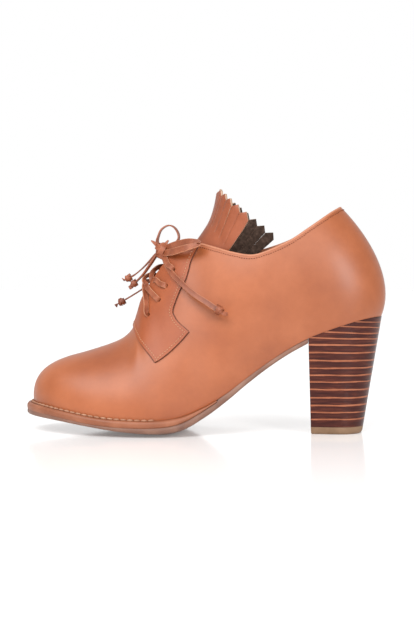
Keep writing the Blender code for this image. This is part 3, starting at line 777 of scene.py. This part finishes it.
for k, (a, b) in enumerate(strips):
    inside = [j for j in range(columns) if a - 1e-6 <= across[j] <= b + 1e-6]
    ends = [verts[last_row + j].co.copy() for j in (inside[0], inside[-1])]
    tooth = (ends[1] - ends[0]).length / 2 * TOOTH_SHARE
    for j in inside:
        vert = verts[last_row + j]
        below = verts[last_row - columns + j].co
        bend = abs(across[j] - (a + b) / 2) / ((b - a) / 2)
        vert.co += (vert.co - below).normalized() * tooth * (1 - bend)
tongue = finish_piece("fringed_tongue", work, (dark_suede, tongue_calf, pale_edge), 60)
add_wall(tongue, TONGUE_THICK, 1, inner=1, rim=2)
round_edges(tongue, TONGUE_ROUND, 1, 60)
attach(tongue, "root")
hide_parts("tongue")

# The insole: a thin board under a natural leather sock, cut a little inside
# the upper and laid on the sole and the heel seat.
INSOLE_THICK = 2.4
INSOLE_INSET = 2.0
INSOLE_RISE = .7
INSOLE_DISH = .55
INSOLE_ROUND = .5
sock = leather("natural_sock", (.26, .16, .095), (.32, .20, .12), (.37, .24, .155),
               (.5, .65), .12)
work = bmesh.new()
rows = []
for s in spread(HEEL * 4 + 1, 0, HEEL):
    rims = []
    for side, _ in SIDES:
        rim = foot(s, side) - outward(s, side) * INSOLE_INSET
        rim.z += INSOLE_RISE
        rims.append(rim)
    row = []
    for share in spread(15, 0, 1):
        point = rims[0].lerp(rims[1], share)
        point.z -= INSOLE_DISH * math.sin(math.pi * share)
        row.append(point)
    rows.append(row)
lay_grid(work, rows)
insole = finish_piece("sock_insole", work, (sock,), 60)
add_wall(insole, INSOLE_THICK, -1)
round_edges(insole, INSOLE_ROUND)
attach(insole, "root")
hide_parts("insole")

# The welt layer: tan leather 4 mm thick round the forepart, rounded and
# burnished at its edge, sewn to the upper with pale heavy thread in a groove.
WELT_END = 18.3

# Gap under the upper in the solids, and what is left of it between the layers.
GAP = .3
CLOSE = .04

# Station, how far the edge stands out from the foot of the upper, thickness of
# the welt, height of the outsole's lower edge and camber of its face.
SOLE_NAMES = ("s", "out", "welt", "low", "camber")
SOLE = (
    (0, 4.6, 4.2, 11.2, 1.2), (2, 4.3, 4.2, 10.7, 1.2), (4, 3.8, 4.2, 9.5, 1.4),
    (6, 3.6, 4.2, 6.9, 1.8), (8, 3.6, 4.2, 4.3, 2.2), (9, 3.6, 4.2, 3.5, 2.4),
    (11, 3.6, 4.2, 2.7, 2.7), (13, 3.5, 4.2, 2.7, 2.7), (14, 3.3, 4.1, 3.2, 2.4),
    (15, 3.0, 3.8, 4.2, 1.9), (16, 2.6, 3.2, 6.4, 1.4), (17, 2.2, 2.2, 10.3, 1.0),
    (18, 1.7, 1.0, 15.4, .8), (19, 1.3, .5, 23.0, .7), (20, 1.0, .5, 32.6, .6),
    (21, .8, .5, 42.6, .5), (22, .6, .5, 51.8, .5), (23, .5, .5, 59.2, .4),
)
welt_leather = leather("welt_leather", (.22, .066, .026), (.27, .088, .038),
                       (.34, .125, .060), (.42, .6), .16, patch=60)
sole_leather = leather("sole_leather", (.14, .060, .038), (.19, .090, .058),
                       (.25, .135, .095), (.45, .62), .2, patch=70)
welt_thread = leather("welt_thread", (.27, .115, .06), (.35, .165, .095),
                      (.43, .23, .145), (.6, .75), .35, patch=160)


def sole_row(s):
    """Sole sizes at a station."""
    return keyed_table(SOLE, SOLE_NAMES, s)


def welt_low(s):
    """Underside of the welt layer."""
    return foot(s, -1).z - GAP - sole_row(s)["welt"]


def outsole_top(s):
    """Top of the outsole, under the welt layer or under the upper."""
    if s <= WELT_END + .05:
        return welt_low(s) - CLOSE
    return foot(s, -1).z - CLOSE


def edge_profile(high, low, crown, count=11):
    """Rounded edge from top to bottom: height and how far it draws in."""
    rows = []
    middle = (high + low) / 2
    half = max(.05, (high - low) / 2)
    for k in range(count):
        t = -1 + 2 * k / (count - 1)
        draw = crown[0] if t < 0 else crown[1]
        rows.append((middle - t * half, -draw * abs(t) ** 2.6))
    return rows


def sole_ring(s, high, low, edge, crown, camber):
    """Section across the foot with round rims and a cambered underside."""
    flanks = {}
    for side, _ in SIDES:
        away = outward(s, side)
        rim = foot(s, side) + away * edge
        flanks[side] = []
        for height, push in edge_profile(high, low, crown):
            point = rim + away * push
            point.z = height
            flanks[side].append(point)
    under = [flanks[-1][-1].lerp(flanks[1][-1], share) for share in
             (.08, .22, .36, .5, .64, .78, .92)]
    for share, point in zip((.45, 1, 1, 1, 1, 1, .45), under):
        point.z = low - camber * share
    over = [flanks[1][0].lerp(flanks[-1][0], share) for share in (.08, .5, .92)]
    return flanks[-1] + under + flanks[1][::-1] + over


def sole_layer(name, last, high, low, edge, crown, camber, look):
    """Sole layer from the toe back to a station.

    Its heights, edge, rounding above and below, and camber follow the station.
    """
    work = bmesh.new()
    rows = []
    for s in spread(int(last * 6) + 1, 0, last):
        ring = sole_ring(s, high(s), low(s), edge(s), crown(s), camber(s))
        rows.append(ring + ring[:1])
    made = lay_grid(work, rows)
    bmesh.ops.remove_doubles(work, verts=made, dist=.002)
    rims = [e for e in work.edges if e.is_boundary]
    bmesh.ops.holes_fill(work, edges=rims, sides=0)
    bmesh.ops.recalc_face_normals(work, faces=work.faces)
    return finish_piece(name, work, (look,), 50, .002)


welt = sole_layer("stitched_welt", WELT_END, lambda s: foot(s, -1).z - CLOSE, welt_low,
                  lambda s: sole_row(s)["out"],
                  lambda s: (min(1.2, .35 * sole_row(s)["welt"]), .25 + .045 * s),
                  lambda s: 0, welt_leather)
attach(welt, "root")
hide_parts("welt")

# The thread and a dark strip of painted shadow in the crease inside it follow the foot of
# the upper as far as the waist on both sides.
WELT_SEAM_ENDS = (12.6, 11.0)
WELT_SEAM_OUT = 1.15
WELT_PITCH = 4.4
WELT_STITCH = 3.9
WELT_THREAD = .75
WELT_SINK = .36
WELT_LEAN = .22
CREASE_OUT = .75
CREASE_WIDE = .5
CREASE_DEEP = 1.5
for (side, name), last in zip(SIDES, WELT_SEAM_ENDS):
    seam = []
    feather = []
    for s in spread(260, 0, last):
        away = outward(s, side)
        rise = Vector((0, 0, .1))
        seam.append((foot(s, side) + away * WELT_SEAM_OUT + rise, Vector((0, 0, 1))))
        feather.append(foot(s, side) + away * CREASE_OUT)
    row = sew(f"welt_stitching_{name}", seam, WELT_PITCH, WELT_STITCH, WELT_THREAD,
              welt_thread, WELT_SINK, WELT_LEAN)
    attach(row, "root")
    # A thin dark strip of painted shadow under the foot of the upper.
    work = bmesh.new()
    feather = feather[::4]
    strip_rings(work, feather, [Vector((0, 0, 1))] * len(feather), CREASE_WIDE,
                CREASE_DEEP, around=8, square=1.0, hollow=0.0)
    shadow_line = finish_piece(f"feather_shadow_{name}", work, (edge_shadow,), 60, .001)
    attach(shadow_line, "root")

# The outsole: one bend of leather with toe spring, arch and waist; its edge is
# trimmed, stained and burnished, and its face is left a little rough.
outsole = sole_layer("leather_outsole", BREAST - .02, outsole_top,
                     lambda s: sole_row(s)["low"],
                     lambda s: sole_row(s)["out"] - .1,
                     lambda s: (.2 + .03 * s, .8),
                     lambda s: min(sole_row(s)["camber"], sole_row(s)["low"]),
                     sole_leather)
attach(outsole, "root")
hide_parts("outsole")

# The stacked heel: dark stained leather lifts, pale glue seams between them,
# turned to a slim block and waxed; the seat slopes with the waist of the shoe.
HEEL_HALF_WIDTH = 15.5
HEEL_FOOT_FRONT = -16.6
HEEL_FOOT_BACK = 16.6
HEEL_ROUND = .35
TOP_LIFT = 4.7

# The straight flank's share of the ribs, and of the ground face's length.
FLANK_RIBS = .38
FLANK_LENGTH = .53

# Height of each pale seam at the middle of the heel, its thickness and its
# slope towards the back.
SEAM_NAMES = ("z", "thick", "slope")
LIFT_SEAMS = (
    (9.9, .9, .004), (14.4, .8, .000), (19.0, 1.0, .006), (24.0, .9, .000),
    (29.3, 1.0, -.008), (34.2, .8, .004), (38.6, .9, -.004), (43.2, .8, .006),
    (48.0, 1.0, -.006), (53.1, .9, -.010), (58.1, 1.0, -.014), (62.3, .8, -.030),
    (66.2, .8, -.045), (70.2, .7, -.050), (73.6, .7, -.050),
)
stain = leather("dark_stained_lift", (.029, .005, .004), (.049, .010, .007),
                (.10, .024, .013), (.28, .40), .12, patch=70, spec=.2, streak=9)
seam_glue = leather("pale_lift_seam", (.22, .065, .028), (.30, .095, .042),
                    (.37, .13, .065), (.35, .5), .15, patch=90, spec=.3, streak=3)


def heel_outline(level):
    """Outline of the heel; level 0 at the ground and 1 at the seat."""
    length = HEEL_FOOT_BACK - HEEL_FOOT_FRONT
    around = []
    for side, _ in SIDES:
        part = []
        for s in spread(31, BREAST, HEEL):
            share = (s - BREAST) / (HEEL - BREAST)
            angle = max(0.0, (share - FLANK_RIBS) / (1 - FLANK_RIBS)) * math.pi / 2
            along = (min(1.0, share / FLANK_RIBS) * FLANK_LENGTH
                     + (1 - FLANK_LENGTH) * math.sin(angle))
            half = HEEL_HALF_WIDTH * (.93 + .07 * min(1.0, share / .3))
            ground = Vector((HEEL_FOOT_FRONT + length * along,
                             side * half * math.cos(angle), 0))
            seat = foot(s, side) + outward(s, side) * .3
            seat.z -= CLOSE
            part.append(ground.lerp(seat, level))
        around.append(part)
    return around[0] + around[1][-2::-1]


def heel_cut(height, drawn_in=0.0):
    """Level outline of the heel at a height, drawn in by an amount."""
    ring = []
    for ground, seat in zip(heel_outline(0), heel_outline(1)):
        point = ground.lerp(seat, height / seat.z)
        away = Vector((point.x, point.y, 0)).normalized()
        point -= away * drawn_in
        point.z = height
        ring.append(point)
    return ring


def heel_block(work, rings):
    """Closed block through equal rings."""
    rows = [ring + ring[:1] for ring in rings]
    made = lay_grid(work, rows)
    bmesh.ops.remove_doubles(work, verts=made, dist=.002)
    half = len(rings[0]) // 2
    work.verts.ensure_lookup_table()
    for row in (rings[0], rings[-1]):
        verts = []
        for point in row:
            verts.append(min(work.verts, key=lambda v: (v.co - point).length))
        count = len(verts)
        for j in range(half):
            quad = [verts[j], verts[j + 1], verts[count - 2 - j], verts[count - 1 - j]]
            corners = list(dict.fromkeys(quad))
            if len(corners) > 2:
                work.faces.new(corners)
    bmesh.ops.recalc_face_normals(work, faces=work.faces)


def seam_height(seam, x):
    """Height of a pale seam at a place along the heel."""
    return seam["z"] + seam["slope"] * x


work = bmesh.new()
rings = [heel_cut(TOP_LIFT + CLOSE)]
rings += [[p.copy() for p in heel_outline(level)] for level in spread(14, .14, 1)]
heel_block(work, rings)
for values in LIFT_SEAMS:
    seam = dict(zip(SEAM_NAMES, values))
    for edge in (-.5, .5):
        bmesh.ops.bisect_plane(
            work, geom=work.verts[:] + work.edges[:] + work.faces[:], dist=.0005,
            plane_co=(0, 0, seam["z"] + edge * seam["thick"]),
            plane_no=(-seam["slope"], 0, 1))
for face in work.faces:
    centre = face.calc_center_median()
    if abs(face.normal.z) < .8:
        for values in LIFT_SEAMS:
            seam = dict(zip(SEAM_NAMES, values))
            if abs(centre.z - seam_height(seam, centre.x)) < seam["thick"] * .5:
                face.material_index = 1

# The seams waver a little, except next to the top lift and under the seat.
for vert in work.verts:
    x, y, z = vert.co
    fade = min(1.0, max(0.0, (z - TOP_LIFT - .5) / 4))
    seat = 62 + (x + 18) * .3
    fade *= min(1.0, max(0.0, (seat - z) / 4))
    turn = math.atan2(y, x + 4)
    wave = (math.sin(turn * 5 + z * .9) * .10 + math.sin(turn * 11 + z * 2.3) * .05
            + math.sin(turn * 23 + z * 3.7) * .03)
    vert.co.z += wave * fade
heel = finish_piece("stacked_lifts", work, (stain, seam_glue), 35, .001)
round_edges(heel, HEEL_ROUND, 2, 50)
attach(heel, "root")
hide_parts("stacked_heel")

# The top lift: one 4.7 mm piece of olive-tan rubber, its lower edge trimmed
# round, nailed and glued under the heel. Height, and how far it is drawn in.
LIFT_EDGE = ((0, 1.3), (.25, .75), (.7, .35), (1.4, .1), (2.4, 0),
             (TOP_LIFT - .3, 0), (TOP_LIFT, .15))
lift_rubber = leather("olive_rubber", (.15, .085, .043), (.195, .113, .062),
                      (.24, .145, .085), (.55, .7), .3, patch=90, spec=.35)
work = bmesh.new()
heel_block(work, [heel_cut(height, drawn_in) for height, drawn_in in LIFT_EDGE])
top_lift = finish_piece("rubber_top_lift", work, (lift_rubber,), 50)
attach(top_lift, "root")
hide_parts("top_lift")

# The laces: flat thongs 3.4 mm wide cut from the same leather. Each comes out of a hole on
# the outer side and goes over the throat into the next inner hole; points and directions are
# given one by one, from hole to hole.
LACE_WIDTH = 3.4
LACE_THICK = 1.2
lace_leather = leather("lace_thong", (.165, .038, .013), (.25, .066, .025),
                       (.36, .11, .050), (.42, .56), .2, patch=110)


def bend_through(points, wides, widths, steps=7):
    """Smooth run of points with width directions and widths."""
    rows = [tuple(p) + tuple(Vector(w).normalized()) + (width,)
            for p, w, width in zip(points, wides, widths)]
    out = [smooth_table(rows, at)
           for at in spread((len(rows) - 1) * steps + 1, 0, len(rows) - 1)]
    return ([Vector(o[:3]) for o in out], [Vector(o[3:6]) for o in out],
            [o[6] for o in out])


def thong(name, points, wides, widths=(), nodes=(), cut=1):
    """Flat lace through points, standing for CAD nodes; cut is its edges' look, 1 giving the
    paler cut-edge look, partly as a painted highlight.
    """
    widths = widths or (LACE_WIDTH,) * len(points)
    line, turned, width = bend_through(points, wides, widths)
    work = bmesh.new()
    strip_rings(work, line, turned, width, LACE_THICK, cut=cut)
    made = finish_piece(name, work, (lace_leather, raw_edge), 50, .001)
    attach(made, "root")
    if nodes:
        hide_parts(*nodes)
    return made, line


def hole(number, side, lift):
    """Point in line with a lace hole."""
    s, v = LACE_HOLES[number - 1]
    return last_point(s, v, side) + last_normal(s, v, side) * lift


# These thongs, and the outer loop and outer end, have paler cut edges, partly as a painted
# highlight.
thong("lace_over_1", (
    hole(1, -1, -2.2), hole(1, -1, 1.2), hole(1, -1, 2.6) + Vector((-.3, .2, 1.2)),
    skin_point(13.2, .82, -1, 3.0), skin_point(13.22, .92, -1, 3.4),
    Vector((-126.6, -2.4, 95.6)), Vector((-125.6, 3.0, 98.4)),
    skin_point(13.8, .97, 1, 2.9), skin_point(14.1, .87, 1, 2.7),
    hole(2, 1, 2.5), hole(2, 1, 1.0), hole(2, 1, -2.2)),
    ((.2, .5, .8), (.3, .6, .6), (.7, .6, .1), (.8, .55, 0), (.75, .65, .1), (.7, .3, -.5),
     (.75, 0, -.6), (.8, .3, -.4), (.8, .4, -.4), (.8, .3, -.4), (.8, .3, -.4),
     (.8, .3, -.4)), nodes=("lace_cross_1",))
thong("lace_over_2", (
    hole(2, -1, -2.2), hole(2, -1, 1.2), hole(2, -1, 2.5) + Vector((-1.0, .5, 1.0)),
    skin_point(13.85, .865, -1, 2.9), skin_point(13.5, .94, -1, 3.3),
    Vector((-125.0, -2.6, 96.0)), Vector((-126.9, -.6, 99.0)),
    Vector((-126.2, 1.8, 101.6)), Vector((-123.6, 4.8, 103.0)),
    Vector((-120.4, 8.2, 102.6)), skin_point(14.7, .88, 1, 2.8),
    hole(3, 1, 2.5), hole(3, 1, 1.0), hole(3, 1, -2.2)),
    ((.5, 0, .8), (.5, 0, .8), (.55, -.1, .8), (.6, -.15, .75), (.65, -.1, .7),
     (.75, .3, .5), (.6, .75, .1), (.3, .9, -.2), (.2, .7, -.6), (.5, .5, -.7),
     (.8, .3, -.4), (.8, .3, -.4), (.8, .3, -.4), (.8, .3, -.4)),
    nodes=("lace_cross_2",))
thong("lace_over_3", (
    hole(3, -1, -2.2), hole(3, -1, 1.2), hole(3, -1, 2.5) + Vector((-1.3, .5, .4)),
    skin_point(14.75, .86, -1, 2.8), skin_point(14.4, .92, -1, 3.0),
    Vector((-120.8, -4.2, 99.0)), Vector((-122.0, -1.0, 101.6)),
    Vector((-121.6, 2.2, 104.6)), Vector((-119.4, 5.4, 107.4)),
    Vector((-116.0, 8.8, 108.6)), skin_point(15.5, .92, 1, 2.7),
    hole(4, 1, 2.5), hole(4, 1, 1.0), hole(4, 1, -2.2)),
    ((0, .2, 1), (0, .2, 1), (.1, .1, 1), (.15, 0, 1), (.25, 0, 1), (.5, 0, .8),
     (.8, .2, .5), (.6, .6, .2), (.3, .7, -.5), (.5, .5, -.6), (.8, .3, -.4),
     (.8, .3, -.4), (.8, .3, -.4), (.8, .3, -.4)), nodes=("lace_cross_3",))
KNOT = Vector((-115.2, -1.6, 119.0))
thong("lace_to_knot", (
    hole(4, -1, -2.2), hole(4, -1, 1.2), hole(4, -1, 2.4) + Vector((-.8, .3, 1.0)),
    skin_point(15.6, .93, -1, 2.6), KNOT + Vector((2.2, -3.2, -3.2)),
    KNOT + Vector((1.2, 1.4, -2.6)), skin_point(15.6, .95, 1, 3.0),
    skin_point(15.9, .90, 1, 2.6), hole(4, 1, 3.4) + Vector((1.6, 0, 1.4)),
    hole(4, 1, 1.6) + Vector((2.2, 0, 1.8))),
    ((.6, 0, .8), (.6, 0, .8), (.6, 0, .8), (.62, 0, .78), (.62, 0, .78), (.62, 0, .78),
     (.62, 0, .78), (.62, 0, .78), (.62, 0, .78), (.62, 0, .78)),
    nodes=("lace_top_strip",))

# The bow: two loops and four ends of the thongs drawn through one flat knot;
# every end is closed by an overhand knot with a short curled tail.


def coil_round(work, centre, axis, radius, turns, climb, wide, thick, start=0.0):
    """Thong wound round an axis, with its turns and their climb along it."""
    axis = axis.normalized()
    first = axis.orthogonal().normalized()
    second = axis.cross(first)
    line = []
    for i in range(int(turns * 16) + 1):
        t = i / 16
        angle = start + 2 * math.pi * t
        swell = radius * (1 + .06 * math.sin(angle * 1.5))
        line.append(centre + axis * climb * (t - turns / 2)
                    + (first * math.cos(angle) + second * math.sin(angle)) * swell)
    strip_rings(work, line, [axis] * len(line), wide, thick)


def overhand(name, place, run, node, tail=4.2, size=2.05, start=0.0, curl=.5):
    """Overhand knot at the end of a thong, with its tail."""
    run = run.normalized()
    side = run.orthogonal().normalized()
    work = bmesh.new()
    bmesh.ops.create_uvsphere(work, u_segments=14, v_segments=9, radius=size * .86,
                              matrix=Matrix.Translation(place))
    coil_round(work, place - run * .5, run + side * .35, size, 1.15, 1.7, 2.3, 1.0, start)
    coil_round(work, place + run * .6, run - side * .45, size * .95, .8, 1.0, 2.1, 1.0,
               start + 2.2)
    line = [place + run * (size * .5 + tail * t) + side * curl * tail * t * t
            for t in spread(9, 0, 1)]
    face = [(side * math.cos(t * 1.6) + run.cross(side) * math.sin(t * 1.6))
            for t in spread(9, 0, 1)]
    strip_rings(work, line, face, [2.2 + 1.0 * t for t in spread(9, 0, 1)], .9)
    made = finish_piece(name, work, (lace_leather,), 60, .0005)
    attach(made, "root")
    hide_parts(node)
    return made


# Coils round the bow's knot: place from its middle, axis, radius, turns, climb,
# width and thickness of the thong, and the angle at which it starts.
KNOT_HALF_SIZES = (3.6, 3.4, 5.6)
KNOT_TILT = .4
KNOT_COILS = (
    ((.1, -.4, 2.0), (.35, -.2, .9), 3.7, 1.1, .8, 4.2, 1.4, .6),
    ((.6, -.4, -2.4), (.5, -.3, .8), 3.6, 1.1, .7, 4.2, 1.4, 2.6),
    ((.2, -.6, -.2), (.9, .1, -.5), 4.5, .7, .4, 3.6, 1.3, 1.2),
)
work = bmesh.new()
bmesh.ops.create_uvsphere(work, u_segments=20, v_segments=12, radius=1, matrix=(
    Matrix.Translation(KNOT) @ Matrix.Rotation(KNOT_TILT, 4, "Y")
    @ Matrix.Diagonal((*KNOT_HALF_SIZES, 1))))
for spot, axis, *sizes in KNOT_COILS:
    coil_round(work, KNOT + Vector(spot), Vector(axis), *sizes)
for tip, root, wide in (
        (Vector((-122.0, -1.8, 125.4)), Vector((-116.6, -1.6, 121.0)), (.5, .3, .8)),
        (Vector((-110.6, -1.5, 125.6)), Vector((-114.2, -1.4, 120.2)), (-.6, .3, .6))):
    line = [root.lerp(tip, t) + Vector((0, -.6, .3)) * math.sin(math.pi * t)
            for t in spread(8, 0, 1)]
    strip_rings(work, line, [Vector(wide)] * 8,
                [3.2 - 2.4 * t ** 1.4 for t in spread(8, 0, 1)], 1.1)
knot = finish_piece("bow_knot", work, (lace_leather,), 60, .0005)
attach(knot, "root")
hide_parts("lace_knot")


def free_thong(name, node, points, wides, widths=(), cut=0):
    """Free stretch of lace standing for a CAD node; where cut is 0 its edges keep the face's
    darker look, and where it is 1 they take the paler cut-edge look, partly as a painted
    highlight.
    """
    made, line = thong(name, points, wides, widths, (node,), cut)


free_thong("bow_loop_outer", "lace_loop_outer", (
    KNOT + Vector((0, 0, 1.2)), Vector((-111.6, -4.6, 120.6)), Vector((-107.6, -8.8, 121.8)),
    Vector((-101.9, -13.6, 123.2)), Vector((-95.6, -18.2, 124.2)),
    Vector((-89.8, -21.6, 123.8)), Vector((-88.4, -22.8, 122.7)),
    Vector((-91.0, -22.8, 121.6)), Vector((-97.9, -20.8, 119.8)),
    Vector((-105.4, -15.6, 117.9)), Vector((-111.2, -8.0, 117.2)),
    KNOT + Vector((-.2, -1.0, -1.6))),
    ((-.2, .2, 1), (-.2, .25, 1), (-.2, .3, .95), (-.1, .3, .95), (0, .35, .9),
     (.1, .5, .85), (0, .6, .8), (0, .45, .85), (0, .3, .95), (.1, .2, 1), (.1, .2, 1),
     (0, .2, 1)),
    (3.4, 4.0, 4.4, 4.5, 4.3, 3.7, 3.4, 3.8, 4.4, 4.7, 4.4, 3.6), 1)
free_thong("bow_loop_inner", "lace_loop_inner", (
    KNOT + Vector((-1.5, 1.5, 1.5)), Vector((-118.4, 3.6, 123.4)),
    Vector((-118.6, 7.0, 127.4)), Vector((-116.7, 9.8, 133.0)),
    Vector((-112.4, 11.0, 135.9)), Vector((-108.4, 10.0, 134.9)),
    Vector((-105.4, 8.6, 131.0)), Vector((-104.9, 6.2, 126.4)),
    Vector((-108.8, 3.0, 122.4)), KNOT + Vector((1.6, 1.0, .6))),
    ((.5, .8, 0), (.4, .9, 0), (.2, 1, 0), (.15, 1, 0), (.1, 1, 0), (.1, 1, .1),
     (.2, 1, .1), (.2, 1, 0), (.3, .9, .2), (.3, .9, .3)))

end_knot = overhand("end_knot_outer", Vector((-74.4, -36.4, 80.2)),
                    Vector((6.4, -1.6, -4.4)), "lace_bead_outer", 4.4, 2.9, .4, .35)
free_thong("bow_end_outer", "lace_end_outer", (
    KNOT + Vector((.3, -1.0, -1.8)), Vector((-112.9, -6.0, 113.6)),
    Vector((-110.0, -11.6, 108.2)), Vector((-105.0, -18.2, 102.2)),
    Vector((-98.6, -24.2, 96.6)), Vector((-91.6, -29.2, 90.8)),
    Vector((-82.8, -33.6, 85.4)), Vector((-76.6, -35.8, 81.4)),
    Vector((-73.8, -36.4, 79.6))),
    ((.5, -.2, .6), (.6, -.2, .5), (.55, -.1, .6), (.5, 0, .7), (.5, .1, .8),
     (.5, .15, .8), (.5, .2, .8), (.5, .2, .8), (.5, .2, .8)),
    cut=1)
end_knot = overhand("end_knot_front_1", Vector((-138.7, 9.6, 100.9)),
                    Vector((-5.6, 1.0, -2.6)), "lace_bead_front_1", 3.4, 2.05, 1.2, -.3)
free_thong("bow_end_front_1", "lace_end_front_1", (
    KNOT, Vector((-119.2, 1.8, 117.0)), Vector((-124.4, 5.0, 111.6)),
    Vector((-129.2, 7.6, 107.2)), Vector((-134.6, 9.0, 103.0)),
    Vector((-138.9, 9.6, 100.8)), Vector((-140.6, 9.8, 100.0))),
    ((.5, .8, .2), (.4, .8, .3), (.4, .8, .3), (.4, .75, .4), (.4, .75, .4),
     (.4, .75, .4), (.4, .75, .4)))
end_knot = overhand("end_knot_front_2", Vector((-134.0, 2.4, 97.0)),
                    Vector((-3.6, .8, -4.2)), "lace_bead_front_2", 3.4, 2.05, 2.4, .3)
free_thong("bow_end_front_2", "lace_end_front_2", (
    KNOT, Vector((-118.6, -1.2, 115.6)), Vector((-122.9, -1.2, 109.4)),
    Vector((-127.8, .2, 102.9)), Vector((-132.2, 1.8, 98.7)),
    Vector((-134.4, 2.5, 96.6)), Vector((-135.6, 2.8, 95.2))),
    ((.4, .8, .3), (.4, .85, .2), (.5, .8, .2), (.5, .8, .3), (.5, .8, .3), (.5, .8, .3),
     (.5, .8, .3)))
end_knot = overhand("end_knot_front_3", Vector((-144.8, 17.2, 84.8)),
                    Vector((-5.2, .6, -2.4)), "lace_bead_front_3", 3.8, 2.3, 3.3, .4)
free_thong("bow_end_front_3", "lace_end_front_3", (
    skin_point(14.2, .86, 1, 2.8), Vector((-119.4, 18.0, 95.0)),
    Vector((-124.4, 19.4, 95.4)), Vector((-129.4, 18.8, 94.0)),
    Vector((-135.6, 17.6, 90.2)), Vector((-141.2, 17.0, 86.8)),
    Vector((-144.6, 17.2, 84.9)), Vector((-146.8, 17.3, 83.9))),
    ((.3, .4, .8), (.3, .5, .7), (.3, .6, .6), (.4, .7, .4), (.5, .7, .4), (.5, .7, .4),
     (.5, .7, .4), (.5, .7, .4)))

# The stage: a plain white floor with a faint gloss in a room seen as white,
# whose ends at toe and heel and whose ceiling give half the light of its sides,
# and two soft lights, one high on the toe side and one lower on the heel side.

# Half the floor's side in millimetres, and the middle of the shoe in metres.
FLOOR_REACH = 12000
SHOE_MIDDLE = Vector((-.09, 0, .07))
floor_look = bpy.data.materials.new("white_floor")
floor_look.use_nodes = True
paint = floor_look.node_tree.nodes["Principled BSDF"]
paint.inputs["Base Color"].default_value = (.95, .945, .94, 1)
paint.inputs["Roughness"].default_value = .12
paint.inputs["Specular IOR Level"].default_value = .5
paint.inputs["Emission Color"].default_value = (1, 1, 1, 1)
paint.inputs["Emission Strength"].default_value = .14
work = bmesh.new()
bmesh.ops.create_grid(work, x_segments=8, y_segments=8, size=FLOOR_REACH)
floor = finish_piece("floor", work, (floor_look,))

room = bpy.data.worlds.new("studio")
room.use_nodes = True
walls = room.node_tree
way = walls.nodes.new("ShaderNodeTexCoord")
split = walls.nodes.new("ShaderNodeSeparateXYZ")
depth = walls.nodes.new("ShaderNodeMath")
depth.operation = "ABSOLUTE"
glow = walls.nodes.new("ShaderNodeMapRange")
glow.inputs["From Min"].default_value = .2
glow.inputs["From Max"].default_value = .85
glow.inputs["To Min"].default_value = .5
glow.inputs["To Max"].default_value = 1.0
ray = walls.nodes.new("ShaderNodeLightPath")
seen = walls.nodes.new("ShaderNodeMath")
seen.operation = "MAXIMUM"
walls.links.new(way.outputs["Generated"], split.inputs["Vector"])
walls.links.new(split.outputs["Y"], depth.inputs[0])
walls.links.new(depth.outputs["Value"], glow.inputs["Value"])
walls.links.new(glow.outputs["Result"], seen.inputs[0])
walls.links.new(ray.outputs["Is Camera Ray"], seen.inputs[1])
walls.links.new(seen.outputs["Value"], walls.nodes["Background"].inputs["Strength"])
walls.nodes["Background"].inputs["Color"].default_value = (1, 1, 1, 1)
bpy.context.scene.world = room
bpy.context.scene.view_settings.view_transform = "Standard"


def soft_light(name, place, size, power):
    """Square soft light that faces the shoe."""
    light = bpy.data.lights.new(name, "AREA")
    light.shape = "RECTANGLE"
    light.size = size[0]
    light.size_y = size[1]
    light.energy = power
    lamp = bpy.data.objects.new(name, light)
    spot = Vector(place)
    lamp.matrix_world = (Matrix.Translation(spot) @ (SHOE_MIDDLE - spot)
                         .to_track_quat("-Z", "Y").to_matrix().to_4x4())
    bpy.context.scene.collection.objects.link(lamp)


soft_light("key", (-.60, -.95, 1.15), (1.3, .8), 19)
soft_light("heel_side", (.62, -1.00, .52), (.34, .40), 8)
